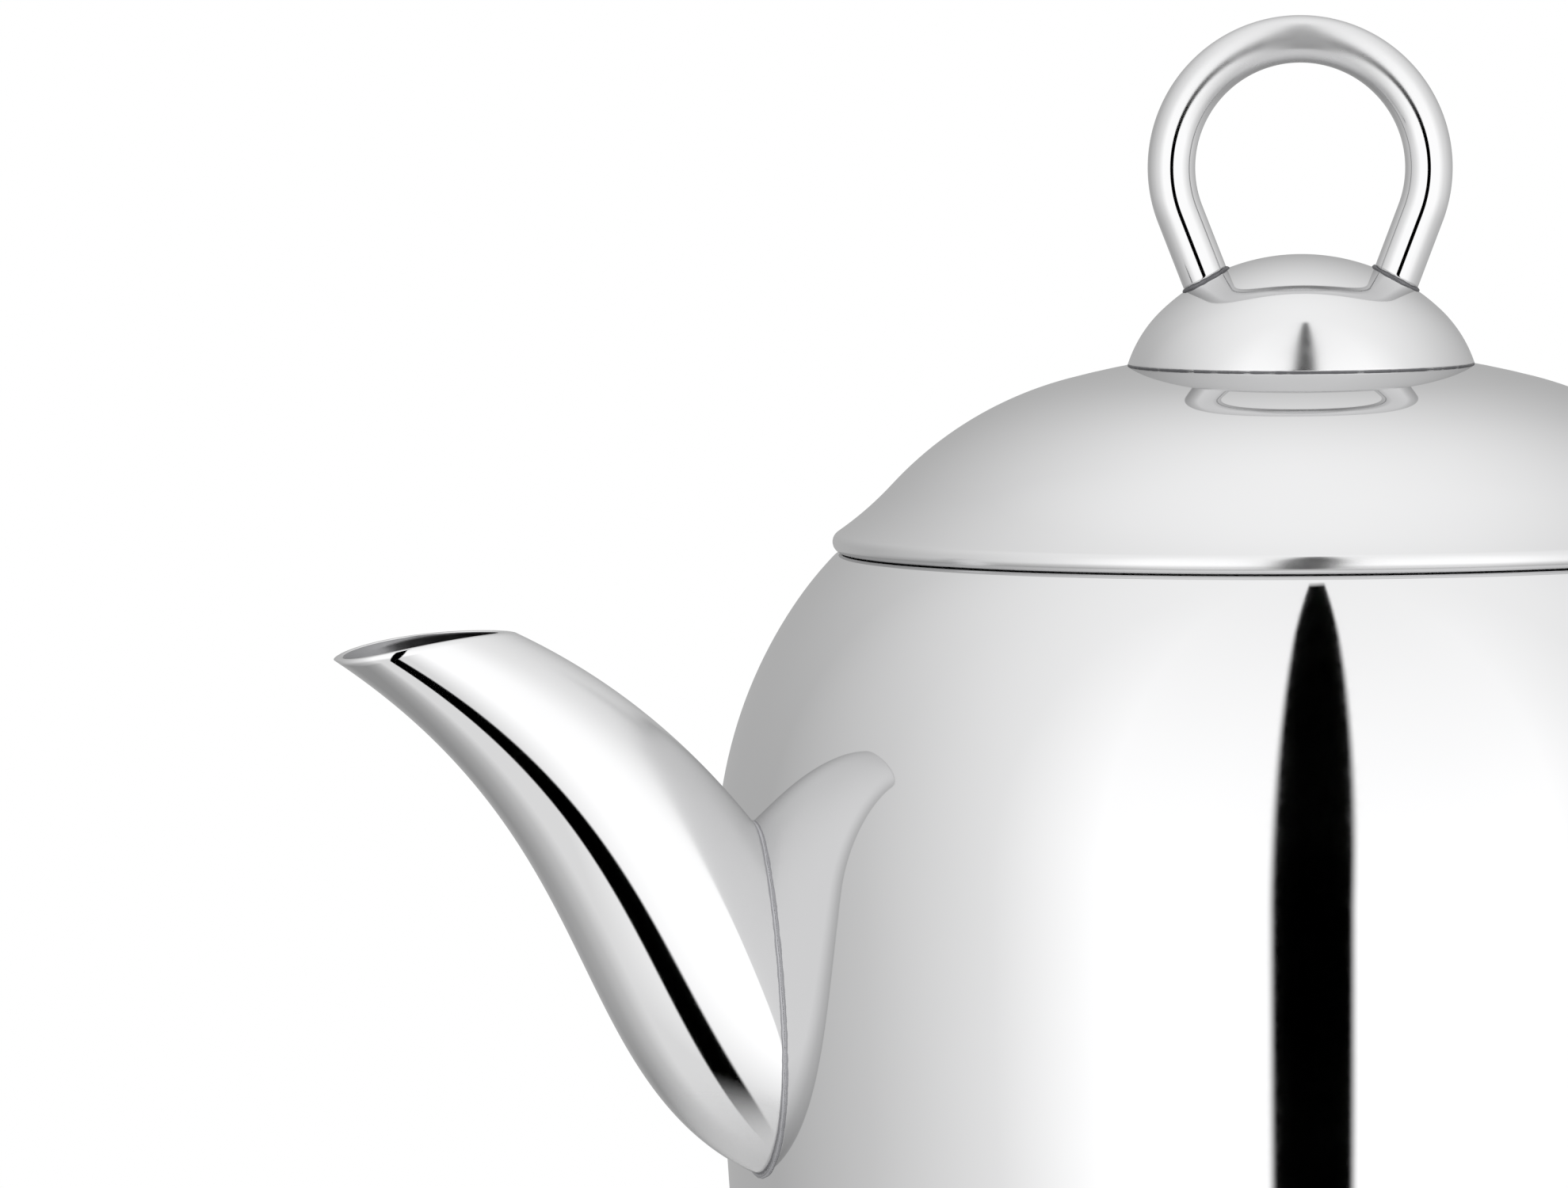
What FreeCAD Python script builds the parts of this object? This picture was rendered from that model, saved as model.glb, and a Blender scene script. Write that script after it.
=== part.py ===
"""Polished steel coffee pot: a round body with a swept spout, a loop handle and a lift-off lid.

Lengths are in millimetres and angles in degrees.  The origin is the centre of the base, +Z is up
along the axis of the pot, -X points to the spout and +X to the handle.  Sheet pieces are drawn as
half sections and turned about the axis, rods and tubes follow their centre lines, and the spout is
a skin over oval sections that follow one curve.
"""
import math
import os

import FreeCAD
import Part
import Sketcher

from FreeCAD import Vector

SIZES = {
    # body, drawn as one sheet from the foot to the collar in the mouth
    "wall": 0.8,
    "belly_radius": 63.0,
    "belly_height": 76.3,
    "belly_bow": 534.0,
    "heel_bend": 20.0,
    "foot_opening": 33.0,
    "shoulder_bend": 48.9,
    "shoulder_turn": 33.9,
    "crown_bend": 40.1,
    "seat_height": 109.4,
    "collar_radius": 46.4,
    "collar_depth": 6.0,
    "port_radius": 6.3,
    "port_height": 57.0,
    # disc that closes the foot from the inside
    "plate_gauge": 1.2,
    "plate_radius": 39.0,
    # spout, by the control points of its centre line and the sizes of its sections
    "spout_wall": 0.8,
    "lip_reach": 101.94,
    "lip_height": 101.8,
    "lip_pull_reach": 65.13,
    "lip_pull_height": 82.98,
    "root_pull_reach": 69.66,
    "root_pull_height": 52.35,
    "root_reach": 48.5,
    "root_height": 54.3,
    "lip_thickness": 11.16,
    "waist_thickness": 32.51,
    "root_thickness": 23.03,
    "lip_width": 12.86,
    "waist_width": 16.74,
    "root_width": 16.76,
    "beak_reach": 108.5,
    "beak_height": 100.43,
    "heel_reach": 88.0,
    "heel_height": 102.83,
    "lip_bow": 0.78,
    "weld_radius": 0.55,
    # handle, a bent tube
    "handle_tube": 5.0,
    "handle_wall": 1.2,
    "handle_top": 89.0,
    "handle_bend": 19.0,
    "handle_reach": 101.3,
    "handle_lean": 12.0,
    "handle_foot": 36.0,
    "handle_weld": 0.8,
    # lid, with its rim folded under
    "lid_wall": 0.8,
    "lid_top": 131.08,
    "lid_crown": 99.8,
    "lid_crown_turn": 14.72,
    "lid_dome": 39.0,
    "lid_dome_turn": 47.0,
    "lid_flare": 36.3,
    "rim_slope": 34.7,
    "hem_radius": 47.6,
    "skirt_gap": 0.35,
    "skirt_wall": 0.6,
    "skirt_depth": 6.0,
    "seat_gap": 0.05,
    # knob: a pressed dome with a finger loop, held by a stud and a cap nut
    "dome_wall": 0.9,
    "dome_top": 141.2,
    "dome_crown": 21.7,
    "dome_turn": 43.6,
    "dome_side": 13.9,
    "dome_radius": 18.6,
    "loop_rod": 2.55,
    "loop_radius": 13.8,
    "loop_height": 150.5,
    "loop_lean": 21.0,
    "loop_turn": -19.6,
    "loop_weld": 0.4,
    "stud_radius": 2.5,
    "stud_flange": 5.0,
    "stud_flange_gauge": 1.2,
    "stud_length": 16.6,
    "hole_gap": 0.2,
    "washer_radius": 6.0,
    "washer_gauge": 1.0,
    "nut_flats": 8.0,
    "nut_height": 3.6,
    "nut_cap": 3.6,
    "thread_gap": 0.05,
}

SHEET = "Sizes"
SPOUT_STATIONS = (-0.12, 0.0, 0.14, 0.28, 0.42, 0.56, 0.7, 0.84, 0.96)
OVAL_POINTS = 16
FULL_TURN = 360
TOUCH = 1e-6
UP = Vector(0, 0, 1)


class Size:
    """A length or a ratio that carries its number and the expression it came from."""

    def __init__(self, number, text):
        """Keep the number and the text of its expression."""
        self.number = number
        self.text = text

    @staticmethod
    def of(thing):
        """Return the thing as a Size, plain numbers included."""
        if isinstance(thing, Size):
            return thing
        return Size(float(thing), repr(float(thing)))

    def __add__(self, other):
        """Return the sum."""
        other = Size.of(other)
        return Size(self.number + other.number, f"({self.text} + {other.text})")

    def __sub__(self, other):
        """Return the difference."""
        other = Size.of(other)
        return Size(self.number - other.number, f"({self.text} - {other.text})")

    def __mul__(self, other):
        """Return the product."""
        other = Size.of(other)
        return Size(self.number * other.number, f"({self.text} * {other.text})")

    def __truediv__(self, other):
        """Return the quotient."""
        other = Size.of(other)
        return Size(self.number / other.number, f"({self.text} / {other.text})")

    def root(self):
        """Return the square root."""
        return Size(math.sqrt(self.number), f"sqrt({self.text})")

    def sine(self):
        """Return the sine of an angle in degrees."""
        return Size(math.sin(math.radians(self.number)), f"sin({self.text})")

    def cosine(self):
        """Return the cosine of an angle in degrees."""
        return Size(math.cos(math.radians(self.number)), f"cos({self.text})")


def leg(long_side, short_side):
    """Return the other short side of a right-angled triangle."""
    return (long_side * long_side - short_side * short_side).root()


ZERO = Size(0.0, "0")


def make_sheet(doc):
    """Write the driving sizes into the sheet of the document."""
    sheet = doc.addObject("Spreadsheet::Sheet", SHEET)
    for row, (name, number) in enumerate(SIZES.items(), start=1):
        sheet.set(f"A{row}", name)
        sheet.set(f"B{row}", str(number))
        sheet.setAlias(f"B{row}", name)
    doc.recompute()
    return sheet


class Dims:
    """The sizes of the sheet, each as a Size under its own name."""

    def __init__(self, sheet):
        """Read every size from the sheet."""
        for name in SIZES:
            setattr(self, name, Size(float(sheet.get(name)), f"{SHEET}.{name}"))


class Arc:
    """A round edge of an outline: its radius and the side on which its centre lies."""

    def __init__(self, radius, side):
        """Keep the radius and the side, 1 for left of the way along the edge and -1 for right."""
        self.radius = radius
        self.side = side


def origin_plane(body, role):
    """Return one of the body's own origin planes or axes."""
    for feature in body.Origin.OriginFeatures:
        if feature.Role == role:
            return feature
    raise ValueError(role)


def new_sketch(body, name, role):
    """Return a new sketch on one of the body's origin planes."""
    sketch = body.newObject("Sketcher::SketchObject", name)
    sketch.AttachmentSupport = [(origin_plane(body, role), "")]
    sketch.MapMode = "FlatFace"
    return sketch


def bind(sketch, kind, *where, size):
    """Add a dimension to the sketch and bind it to the size."""
    index = sketch.addConstraint(Sketcher.Constraint(kind, *where, size.number))
    sketch.renameConstraint(index, f"size_{index}")
    sketch.setExpression(f"Constraints.size_{index}", size.text)


def pin(sketch, geometry, end, point):
    """Hold one end of an edge at a point given by two sizes."""
    across, up = point
    if abs(across.number) < TOUCH:
        sketch.addConstraint(Sketcher.Constraint("PointOnObject", geometry, end, -2))
    else:
        bind(sketch, "DistanceX", -1, 1, geometry, end, size=across)
    if abs(up.number) < TOUCH:
        sketch.addConstraint(Sketcher.Constraint("PointOnObject", geometry, end, -1))
    else:
        bind(sketch, "DistanceY", -1, 1, geometry, end, size=up)


def arc_edge(start, end, arc):
    """Return the circular edge between two points and whether its ends are the other way round."""
    chord = end - start
    half = chord.Length / 2
    radius = arc.radius.number
    height = math.sqrt(max(radius * radius - half * half, 0.0))
    left = Vector(-chord.y, chord.x, 0).normalize()
    centre = (start + end) * 0.5 + left * (arc.side * height)
    first = math.atan2(start.y - centre.y, start.x - centre.x)
    last = math.atan2(end.y - centre.y, end.x - centre.x)
    circle = Part.Circle(centre, UP, radius)
    if arc.side > 0:
        return Part.ArcOfCircle(circle, first, last), False
    return Part.ArcOfCircle(circle, last, first), True


def draw(sketch, points, edges, closed=True):
    """Draw an outline through the points, every point and every radius bound to its size.

    Each entry of edges is None for a straight edge or an Arc, and runs from its point to the next.
    """
    ends = []
    for index, edge in enumerate(edges):
        here = points[index]
        there = points[(index + 1) % len(points)]
        start = Vector(here[0].number, here[1].number, 0)
        end = Vector(there[0].number, there[1].number, 0)
        if edge is None:
            ends.append((sketch.addGeometry(Part.LineSegment(start, end)), 1, 2))
            continue
        shape, swapped = arc_edge(start, end, edge)
        geometry = sketch.addGeometry(shape)
        ends.append((geometry, 2, 1) if swapped else (geometry, 1, 2))
    for index, (geometry, first, last) in enumerate(ends):
        if index + 1 < len(ends) or closed:
            following, meets, _ = ends[(index + 1) % len(ends)]
            sketch.addConstraint(Sketcher.Constraint("Coincident", geometry, last, following, meets))
        pin(sketch, geometry, first, points[index])
        if edges[index] is not None:
            bind(sketch, "Radius", geometry, size=edges[index].radius)
    if not closed:
        geometry, _, last = ends[-1]
        pin(sketch, geometry, last, points[len(edges)])


def new_body(doc, label):
    """Return a new body with the name of its piece."""
    body = doc.addObject("PartDesign::Body", label)
    body.Label = label
    return body


def turn(body, name, points, edges, kind="PartDesign::Revolution"):
    """Turn a closed half section about the axis of the pot, as material or as a cut."""
    sketch = new_sketch(body, f"{name}_section", "XZ_Plane")
    draw(sketch, points, edges)
    feature = body.newObject(kind, name)
    feature.Profile = sketch
    feature.ReferenceAxis = (sketch, ["V_Axis"])
    feature.Angle = FULL_TURN
    sketch.Visibility = False
    return feature


def body_outline(d, inset):
    """Return the points and edges of the body's skin from the foot to the seat of the lid.

    The same centres serve the outside, with no inset, and the inside, with the wall as inset.
    """
    belly_centre = d.belly_radius - d.belly_bow
    drop = (d.belly_height - d.heel_bend) / (d.belly_bow - d.heel_bend)
    along = (Size.of(1) - drop * drop).root()
    heel_centre = belly_centre + (d.belly_bow - d.heel_bend) * along
    heel = d.heel_bend - inset
    shoulder_centre = d.belly_radius - d.shoulder_bend
    step = d.shoulder_bend - d.crown_bend
    crown_across = shoulder_centre + step * d.shoulder_turn.cosine()
    crown_up = d.belly_height + step * d.shoulder_turn.sine()
    shoulder = d.shoulder_bend - inset
    crown = d.crown_bend - inset
    top = d.seat_height - inset
    points = [
        (heel_centre, ZERO + inset),
        (heel_centre + heel * along, d.heel_bend - heel * drop),
        (d.belly_radius - inset, d.belly_height),
        (
            shoulder_centre + shoulder * d.shoulder_turn.cosine(),
            d.belly_height + shoulder * d.shoulder_turn.sine(),
        ),
        (crown_across + leg(crown, top - crown_up), top),
    ]
    edges = [Arc(heel, 1), Arc(d.belly_bow - inset, 1), Arc(shoulder, 1), Arc(crown, 1)]
    return points, edges


def other_way(points, edges):
    """Return the same outline run from its far end."""
    flipped = [Arc(edge.radius, -edge.side) for edge in reversed(edges)]
    return list(reversed(points)), flipped


def make_body_shell(doc, d):
    """Body sheet with a turned-in foot, a flat seat and a collar in the mouth, and the pour port."""
    body = new_body(doc, "body_shell")
    outside, outer_edges = body_outline(d, ZERO)
    inside, inner_edges = other_way(*body_outline(d, d.wall))
    low = d.seat_height - d.collar_depth
    points = [(d.foot_opening, ZERO)] + outside
    edges = [None] + outer_edges + [None]
    points += [(d.collar_radius, d.seat_height), (d.collar_radius, low), (d.collar_radius + d.wall, low)]
    edges += [None, None, None]
    points += [(d.collar_radius + d.wall, d.seat_height - d.wall)]
    edges += [None]
    points += inside + [(d.foot_opening, d.wall)]
    edges += inner_edges + [None, None]
    turn(body, "body_sheet", points, edges)
    sketch = new_sketch(body, "port_outline", "YZ_Plane")
    port = sketch.addGeometry(Part.Circle(Vector(0, d.port_height.number, 0), UP, d.port_radius.number))
    sketch.addConstraint(Sketcher.Constraint("PointOnObject", port, 3, -2))
    bind(sketch, "DistanceY", -1, 1, port, 3, size=d.port_height)
    bind(sketch, "Radius", port, size=d.port_radius)
    doc.recompute()
    pocket = body.newObject("PartDesign::Pocket", "pour_port")
    pocket.Profile = sketch
    pocket.Type = "Length"
    pocket.setExpression("Length", (d.belly_radius + d.wall).text)
    sketch.Visibility = False
    return body


def make_body_blank(doc, d, label, inset):
    """Filled outline of the body, which trims what is welded to its outside."""
    body = new_body(doc, label)
    points, edges = body_outline(d, inset)
    points = [(ZERO, points[0][1])] + points + [(ZERO, points[-1][1])]
    edges = [None] + edges + [None, None]
    turn(body, f"{label}_fill", points, edges)
    return body


def make_base_plate(doc, d):
    """Disc welded on the turned-in foot from the inside."""
    plate = doc.addObject("Part::Cylinder", "base_plate")
    plate.Label = "base_plate"
    plate.setExpression("Radius", d.plate_radius.text)
    plate.setExpression("Height", d.plate_gauge.text)
    plate.setExpression("Placement.Base.z", d.wall.text)
    return plate


def blend(station, start, middle, end):
    """Return the value at a station of a quadratic law given by three control values."""
    rest = 1 - station
    return start * rest * rest + 2 * middle * rest * station + end * station * station


def spout_section(d, station, inset):
    """Return the oval wire of the spout at one station along its centre line."""
    reach = [d.lip_reach, d.lip_pull_reach, d.root_pull_reach, d.root_reach]
    height = [d.lip_height, d.lip_pull_height, d.root_pull_height, d.root_height]
    rest = 1 - station
    shares = (rest**3, 3 * rest**2 * station, 3 * rest * station**2, station**3)
    centre = Vector(
        -sum(share * size.number for share, size in zip(shares, reach)),
        0,
        sum(share * size.number for share, size in zip(shares, height)),
    )
    slopes = (rest**2, 2 * rest * station, station**2)
    along = Vector(
        -sum(slopes[i] * (reach[i + 1].number - reach[i].number) for i in range(3)),
        0,
        sum(slopes[i] * (height[i + 1].number - height[i].number) for i in range(3)),
    ).normalize()
    thickness = blend(station, d.lip_thickness.number, d.waist_thickness.number, d.root_thickness.number)
    width = blend(station, d.lip_width.number, d.waist_width.number, d.root_width.number)
    turns = [math.tau * index / OVAL_POINTS for index in range(OVAL_POINTS)]
    rim = [
        Vector((width / 2 - inset) * math.cos(angle), (thickness / 2 - inset) * math.sin(angle), 0)
        for angle in turns
    ]
    curve = Part.BSplineCurve()
    curve.interpolate(Points=rim, PeriodicFlag=True)
    oval = curve.toShape()
    sideways = Vector(0, 1, 0)
    across = along.cross(sideways)
    turned = FreeCAD.Rotation(sideways, across, sideways.cross(across), "ZXY")
    oval.Placement = FreeCAD.Placement(centre, turned)
    return Part.Wire([oval])


def spout_skin(d, inset):
    """Return the filled spout over its sections."""
    wires = [spout_section(d, station, inset) for station in SPOUT_STATIONS]
    return Part.makeLoft(wires, True, False)


def lip_cutter(d):
    """Return the block above the bowed cut of the lip."""
    tip = Vector(-d.beak_reach.number, 0, d.beak_height.number)
    heel = Vector(-d.heel_reach.number, 0, d.heel_height.number)
    chord = heel - tip
    bow = d.lip_bow.number
    radius = (chord.Length**2 / 4 + bow**2) / (2 * bow)
    middle = (tip + heel) * 0.5
    normal = Vector(-chord.z, 0, chord.x).normalize()
    centre = middle - normal * (radius - bow)
    opening = math.asin(chord.Length / 2 / radius) * 2
    lean = math.atan2(normal.z, normal.x)
    rim = [
        centre + Vector(math.cos(lean + turn_by), 0, math.sin(lean + turn_by)) * radius
        for turn_by in (opening, 0, -opening)
    ]
    lift = Vector(0, 0, chord.Length * 2)
    arc = Part.Arc(*rim).toShape()
    sides = [
        Part.makeLine(rim[2], rim[2] + lift),
        Part.makeLine(rim[2] + lift, rim[0] + lift),
        Part.makeLine(rim[0] + lift, rim[0]),
    ]
    face = Part.Face(Part.Wire([arc] + sides))
    deep = d.root_width.number
    face.translate(Vector(0, -deep, 0))
    return face.extrude(Vector(0, deep * 2, 0))


def one_solid(shape, towards):
    """Return the solid of a shape that lies farthest along a direction."""
    return max(shape.Solids, key=lambda solid: solid.CenterOfMass.dot(towards))


def make_spout(doc, d, blank):
    """Hollow swept spout, open at the bowed lip and trimmed to the outside of the body."""
    shape = spout_skin(d, 0.0).cut(lip_cutter(d))
    shape = shape.cut(spout_skin(d, d.spout_wall.number))
    shape = shape.cut(blank.Shape)
    spout = doc.addObject("Part::Feature", "spout")
    spout.Label = "spout"
    spout.Shape = one_solid(shape, Vector(-1, 0, 0))
    return spout


def collar(rod, thicker_rod, wall, thicker_wall):
    """Return the weld round the foot of a rod, as wide on the rod as it is on the wall."""
    return thicker_rod.common(thicker_wall).cut(rod).cut(wall)


def add_welds(doc, label, collars):
    """Weld collars of one joint as one piece."""
    solids = [solid for shape in collars for solid in shape.Solids]
    welds = doc.addObject("Part::Feature", label)
    welds.Label = label
    welds.Shape = solids[0] if len(solids) == 1 else Part.makeCompound(solids)
    return welds


def make_spout_weld(doc, d, blank):
    """Weld line round the root of the spout."""
    size = d.weld_radius
    wall = make_body_blank(doc, d, "spout_weld_wall", ZERO - size)
    doc.recompute()
    shape = collar(spout_skin(d, 0.0), spout_skin(d, -size.number), blank.Shape, wall.Shape)
    return add_welds(doc, "spout_weld", [one_solid(shape, Vector(-1, 0, 0))])


def make_handle_welds(doc, d, blank):
    """Weld lines round the two ends of the handle."""
    size = d.handle_weld.number
    wall = make_body_blank(doc, d, "handle_weld_wall", ZERO - d.handle_weld)
    doc.recompute()
    length = d.belly_radius.number * 2
    collars = []
    for height in (d.handle_top, d.handle_foot):
        start = Vector(0, 0, height.number)
        rods = [
            Part.makeCylinder(d.handle_tube.number + extra, length, start, Vector(1, 0, 0))
            for extra in (0.0, size)
        ]
        collars.append(collar(rods[0], rods[1], blank.Shape, wall.Shape))
    return add_welds(doc, "handle_welds", collars)


def pipe(body, name, points, edges, profile_at, radii):
    """Sweep a round section along a centre line that starts along +X.

    profile_at is the start of the line, and a second radius makes the rod a tube.
    """
    path = new_sketch(body, f"{name}_line", "XZ_Plane")
    draw(path, points, edges, closed=False)
    section = new_sketch(body, f"{name}_section", "YZ_Plane")
    across, up = profile_at
    section.AttachmentOffset = FreeCAD.Placement(Vector(0, 0, across.number), FreeCAD.Rotation())
    if abs(across.number) > TOUCH:
        section.setExpression("AttachmentOffset.Base.z", across.text)
    for radius in radii:
        circle = section.addGeometry(Part.Circle(Vector(0, up.number, 0), UP, radius.number))
        section.addConstraint(Sketcher.Constraint("PointOnObject", circle, 3, -2))
        bind(section, "DistanceY", -1, 1, circle, 3, size=up)
        bind(section, "Radius", circle, size=radius)
    feature = body.newObject("PartDesign::AdditivePipe", name)
    feature.Profile = section
    feature.Spine = (path, [f"Edge{index + 1}" for index in range(len(edges))])
    path.Visibility = False
    section.Visibility = False
    return feature


def handle_line(d):
    """Return the start, the points and the edges of the handle's centre line."""
    inside = d.belly_radius - d.shoulder_bend / 4
    out = d.handle_reach - d.handle_bend
    lean_sine = d.handle_lean.sine()
    lean_cosine = d.handle_lean.cosine()
    centre = d.handle_top - d.handle_bend
    grip = (out + d.handle_bend * lean_cosine, centre - d.handle_bend * lean_sine)
    low_centre = d.handle_foot + d.handle_bend
    fall = grip[1] - (low_centre - d.handle_bend * lean_sine)
    low = (grip[0] - fall * lean_sine / lean_cosine, grip[1] - fall)
    low_across = low[0] - d.handle_bend * lean_cosine
    points = [(inside, d.handle_top), (out, d.handle_top), grip, low, (low_across, d.handle_foot)]
    points.append((inside, d.handle_foot))
    edges = [None, Arc(d.handle_bend, -1), None, Arc(d.handle_bend, -1), None]
    return points, edges


def make_handle(doc, d):
    """Bent tube opposite the spout, trimmed to the outside of the body."""
    body = new_body(doc, "handle")
    points, edges = handle_line(d)
    pipe(body, "handle_bent", points, edges, points[0], [d.handle_tube, d.handle_tube - d.handle_wall])
    outline, outline_edges = body_outline(d, ZERO)
    points = [(ZERO, ZERO)] + outline + [(ZERO, d.seat_height)]
    doc.recompute()
    turn(body, "handle_cope", points, [None] + outline_edges + [None, None], "PartDesign::Groove")
    return body


def lid_outline(d, inset):
    """Return the points and edges of the lid's skin from the stud hole to the start of the rim."""
    hole = d.stud_radius + d.hole_gap
    crown_centre = d.lid_top - d.lid_crown
    crown = d.lid_crown - inset
    step = d.lid_crown - d.lid_dome
    dome_across = step * d.lid_crown_turn.sine()
    dome_up = crown_centre + step * d.lid_crown_turn.cosine()
    dome = d.lid_dome - inset
    reach = d.lid_dome + d.lid_flare
    flare_across = dome_across + reach * d.lid_dome_turn.sine()
    flare_up = dome_up + reach * d.lid_dome_turn.cosine()
    flare = d.lid_flare + inset
    points = [
        (hole, crown_centre + leg(crown, hole)),
        (crown * d.lid_crown_turn.sine(), crown_centre + crown * d.lid_crown_turn.cosine()),
        (
            dome_across + dome * d.lid_dome_turn.sine(),
            dome_up + dome * d.lid_dome_turn.cosine(),
        ),
    ]
    edges = [Arc(crown, -1), Arc(dome, -1), Arc(flare, 1)]
    return points, edges, (flare_across, flare_up, flare)


def under_lid(d, across):
    """Return the height of the inside of the flared part of the lid at a distance from the axis."""
    _, _, (flare_across, flare_up, flare) = lid_outline(d, d.lid_wall)
    return flare_up - leg(flare, flare_across - across)


def hem_height(d):
    """Return the height of the underside of the lid's rim."""
    return d.seat_height + d.seat_gap


def make_lid_shell(doc, d):
    """Lid sheet: low dome, flared edge and a rim folded under to a flat hem."""
    body = new_body(doc, "lid_shell")
    outside, outer_edges, (flare_across, flare_up, flare) = lid_outline(d, ZERO)
    inside, inner_edges, _ = lid_outline(d, d.lid_wall)
    edge_point = (
        flare_across - flare * d.rim_slope.sine(),
        flare_up - flare * d.rim_slope.cosine(),
    )
    bottom = hem_height(d)
    bend = (edge_point[1] - bottom) / (d.rim_slope.cosine() + 1)
    bend_across = edge_point[0] - bend * d.rim_slope.sine()
    points = outside + [edge_point, (bend_across, bottom), (d.hem_radius, bottom)]
    edges = outer_edges + [Arc(bend, -1), None, None]
    hem = (d.hem_radius, under_lid(d, d.hem_radius))
    back, back_edges = other_way(inside + [hem], inner_edges)
    turn(body, "lid_sheet", points + back, edges + back_edges + [None])
    return body


def make_lid_skirt(doc, d):
    """Ring under the lid that drops into the collar of the mouth."""
    body = new_body(doc, "lid_skirt")
    outer = d.collar_radius - d.skirt_gap
    inner = outer - d.skirt_wall
    low = d.seat_height - d.skirt_depth
    points = [(inner, low), (outer, low), (outer, under_lid(d, outer)), (inner, under_lid(d, inner))]
    turn(body, "skirt_sheet", points, [None, None, Arc(d.lid_flare + d.lid_wall, -1), None])
    return body


def lid_height(d, across):
    """Return the height of the lid's top near the axis at a distance from it."""
    return d.lid_top - d.lid_crown + leg(d.lid_crown, across)


def dome_outline(d, inset, foot):
    """Return the points and edges of the knob's dome from its foot up to the axis."""
    crown_centre = d.dome_top - d.dome_crown
    step = d.dome_crown - d.dome_side
    side_across = step * d.dome_turn.sine()
    side_up = crown_centre + step * d.dome_turn.cosine()
    side = d.dome_side - inset
    crown = d.dome_crown - inset
    points = [
        (side_across + leg(side, foot - side_up), foot),
        (crown * d.dome_turn.sine(), crown_centre + crown * d.dome_turn.cosine()),
        (ZERO, crown_centre + crown),
    ]
    return points, [Arc(side, 1), Arc(crown, 1)]


def make_knob_dome(doc, d):
    """Pressed dome of the knob, standing with its edge on the lid."""
    body = new_body(doc, "knob_dome")
    inner_foot = lid_height(d, d.dome_radius - d.dome_wall) + d.seat_gap
    points, edges = dome_outline(d, ZERO, lid_height(d, d.dome_radius) + d.seat_gap)
    inside, inner_edges = other_way(*dome_outline(d, d.dome_wall, inner_foot))
    turn(body, "dome_sheet", points + inside, edges + [None] + inner_edges + [None])
    return body


def make_dome_blank(doc, d, label, inset):
    """Filled outline of the knob's dome, which trims the welds of the loop."""
    body = new_body(doc, label)
    foot = lid_height(d, d.dome_radius)
    points, edges = dome_outline(d, inset, foot)
    turn(body, f"{label}_fill", points + [(ZERO, foot)], edges + [None, None])
    return body


def turn_loop(thing, d):
    """Turn a piece of the loop away from the line of the spout, as the loose lid stands."""
    thing.Placement = FreeCAD.Placement(Vector(0, 0, 0), FreeCAD.Rotation(UP, d.loop_turn.number))
    thing.setExpression("Placement.Rotation.Angle", d.loop_turn.text)
    return thing


def make_knob_ring_welds(doc, d):
    """Weld lines round the two feet of the loop."""
    size = d.loop_weld.number
    dome = make_dome_blank(doc, d, "dome_blank", ZERO)
    wall = make_dome_blank(doc, d, "loop_weld_wall", ZERO - d.loop_weld)
    doc.recompute()
    lean = math.radians(d.loop_lean.number)
    collars = []
    for side in (-1, 1):
        bend = Vector(side * math.cos(lean), 0, -math.sin(lean)) * d.loop_radius.number
        start = Vector(0, 0, d.loop_height.number) + bend
        down = Vector(-side * math.sin(lean), 0, -math.cos(lean))
        rods = [
            Part.makeCylinder(d.loop_rod.number + extra, d.dome_crown.number, start, down)
            for extra in (0.0, size)
        ]
        collars.append(collar(rods[0], rods[1], dome.Shape, wall.Shape))
    return turn_loop(add_welds(doc, "knob_ring_welds", collars), d)


def make_knob_ring(doc, d):
    """Finger loop bent from rod, its two feet cut to stand on the dome."""
    body = new_body(doc, "knob_ring")
    top = (ZERO, d.loop_height + d.loop_radius)
    side = (d.loop_radius * d.loop_lean.cosine(), d.loop_height - d.loop_radius * d.loop_lean.sine())
    low = d.dome_top - d.dome_crown / 2
    fall = side[1] - low
    foot = (side[0] - fall * d.loop_lean.sine() / d.loop_lean.cosine(), low)
    bends = [Arc(d.loop_radius, -1), None]
    half = pipe(body, "loop_half", [top, side, foot], bends, top, [d.loop_rod])
    doc.recompute()
    mirror = body.newObject("PartDesign::Mirrored", "loop_pair")
    mirror.Originals = [half]
    mirror.MirrorPlane = (origin_plane(body, "YZ_Plane"), [""])
    body.Tip = mirror
    doc.recompute()
    floor = lid_height(d, d.dome_radius)
    points, edges = dome_outline(d, ZERO, floor)
    turn(body, "loop_cope", points + [(ZERO, floor)], edges + [None, None], "PartDesign::Groove")
    return turn_loop(body, d)


def make_knob_stud(doc, d):
    """Stud with a round head brazed under the crown of the dome."""
    body = new_body(doc, "knob_stud")
    crown = d.dome_crown - d.dome_wall
    centre = d.dome_top - d.dome_crown
    head = centre + leg(crown, d.stud_flange)
    neck = head - d.stud_flange_gauge
    low = neck - d.stud_length
    points = [
        (ZERO, low),
        (d.stud_radius, low),
        (d.stud_radius, neck),
        (d.stud_flange, neck),
        (d.stud_flange, head),
        (ZERO, centre + crown),
    ]
    turn(body, "stud_turned", points, [None, None, None, None, Arc(crown, 1), None])
    return body


def washer_top(d):
    """Return the height at which the washer bears under the lid."""
    return d.lid_top - d.lid_crown + leg(d.lid_crown - d.lid_wall, d.washer_radius)


def make_knob_washer(doc, d):
    """Flat washer between the lid and the nut."""
    body = new_body(doc, "knob_washer")
    inner = d.stud_radius + d.hole_gap
    top = washer_top(d)
    low = top - d.washer_gauge
    points = [(inner, low), (d.washer_radius, low), (d.washer_radius, top), (inner, top)]
    turn(body, "washer_turned", points, [None, None, None, None])
    return body


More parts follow.
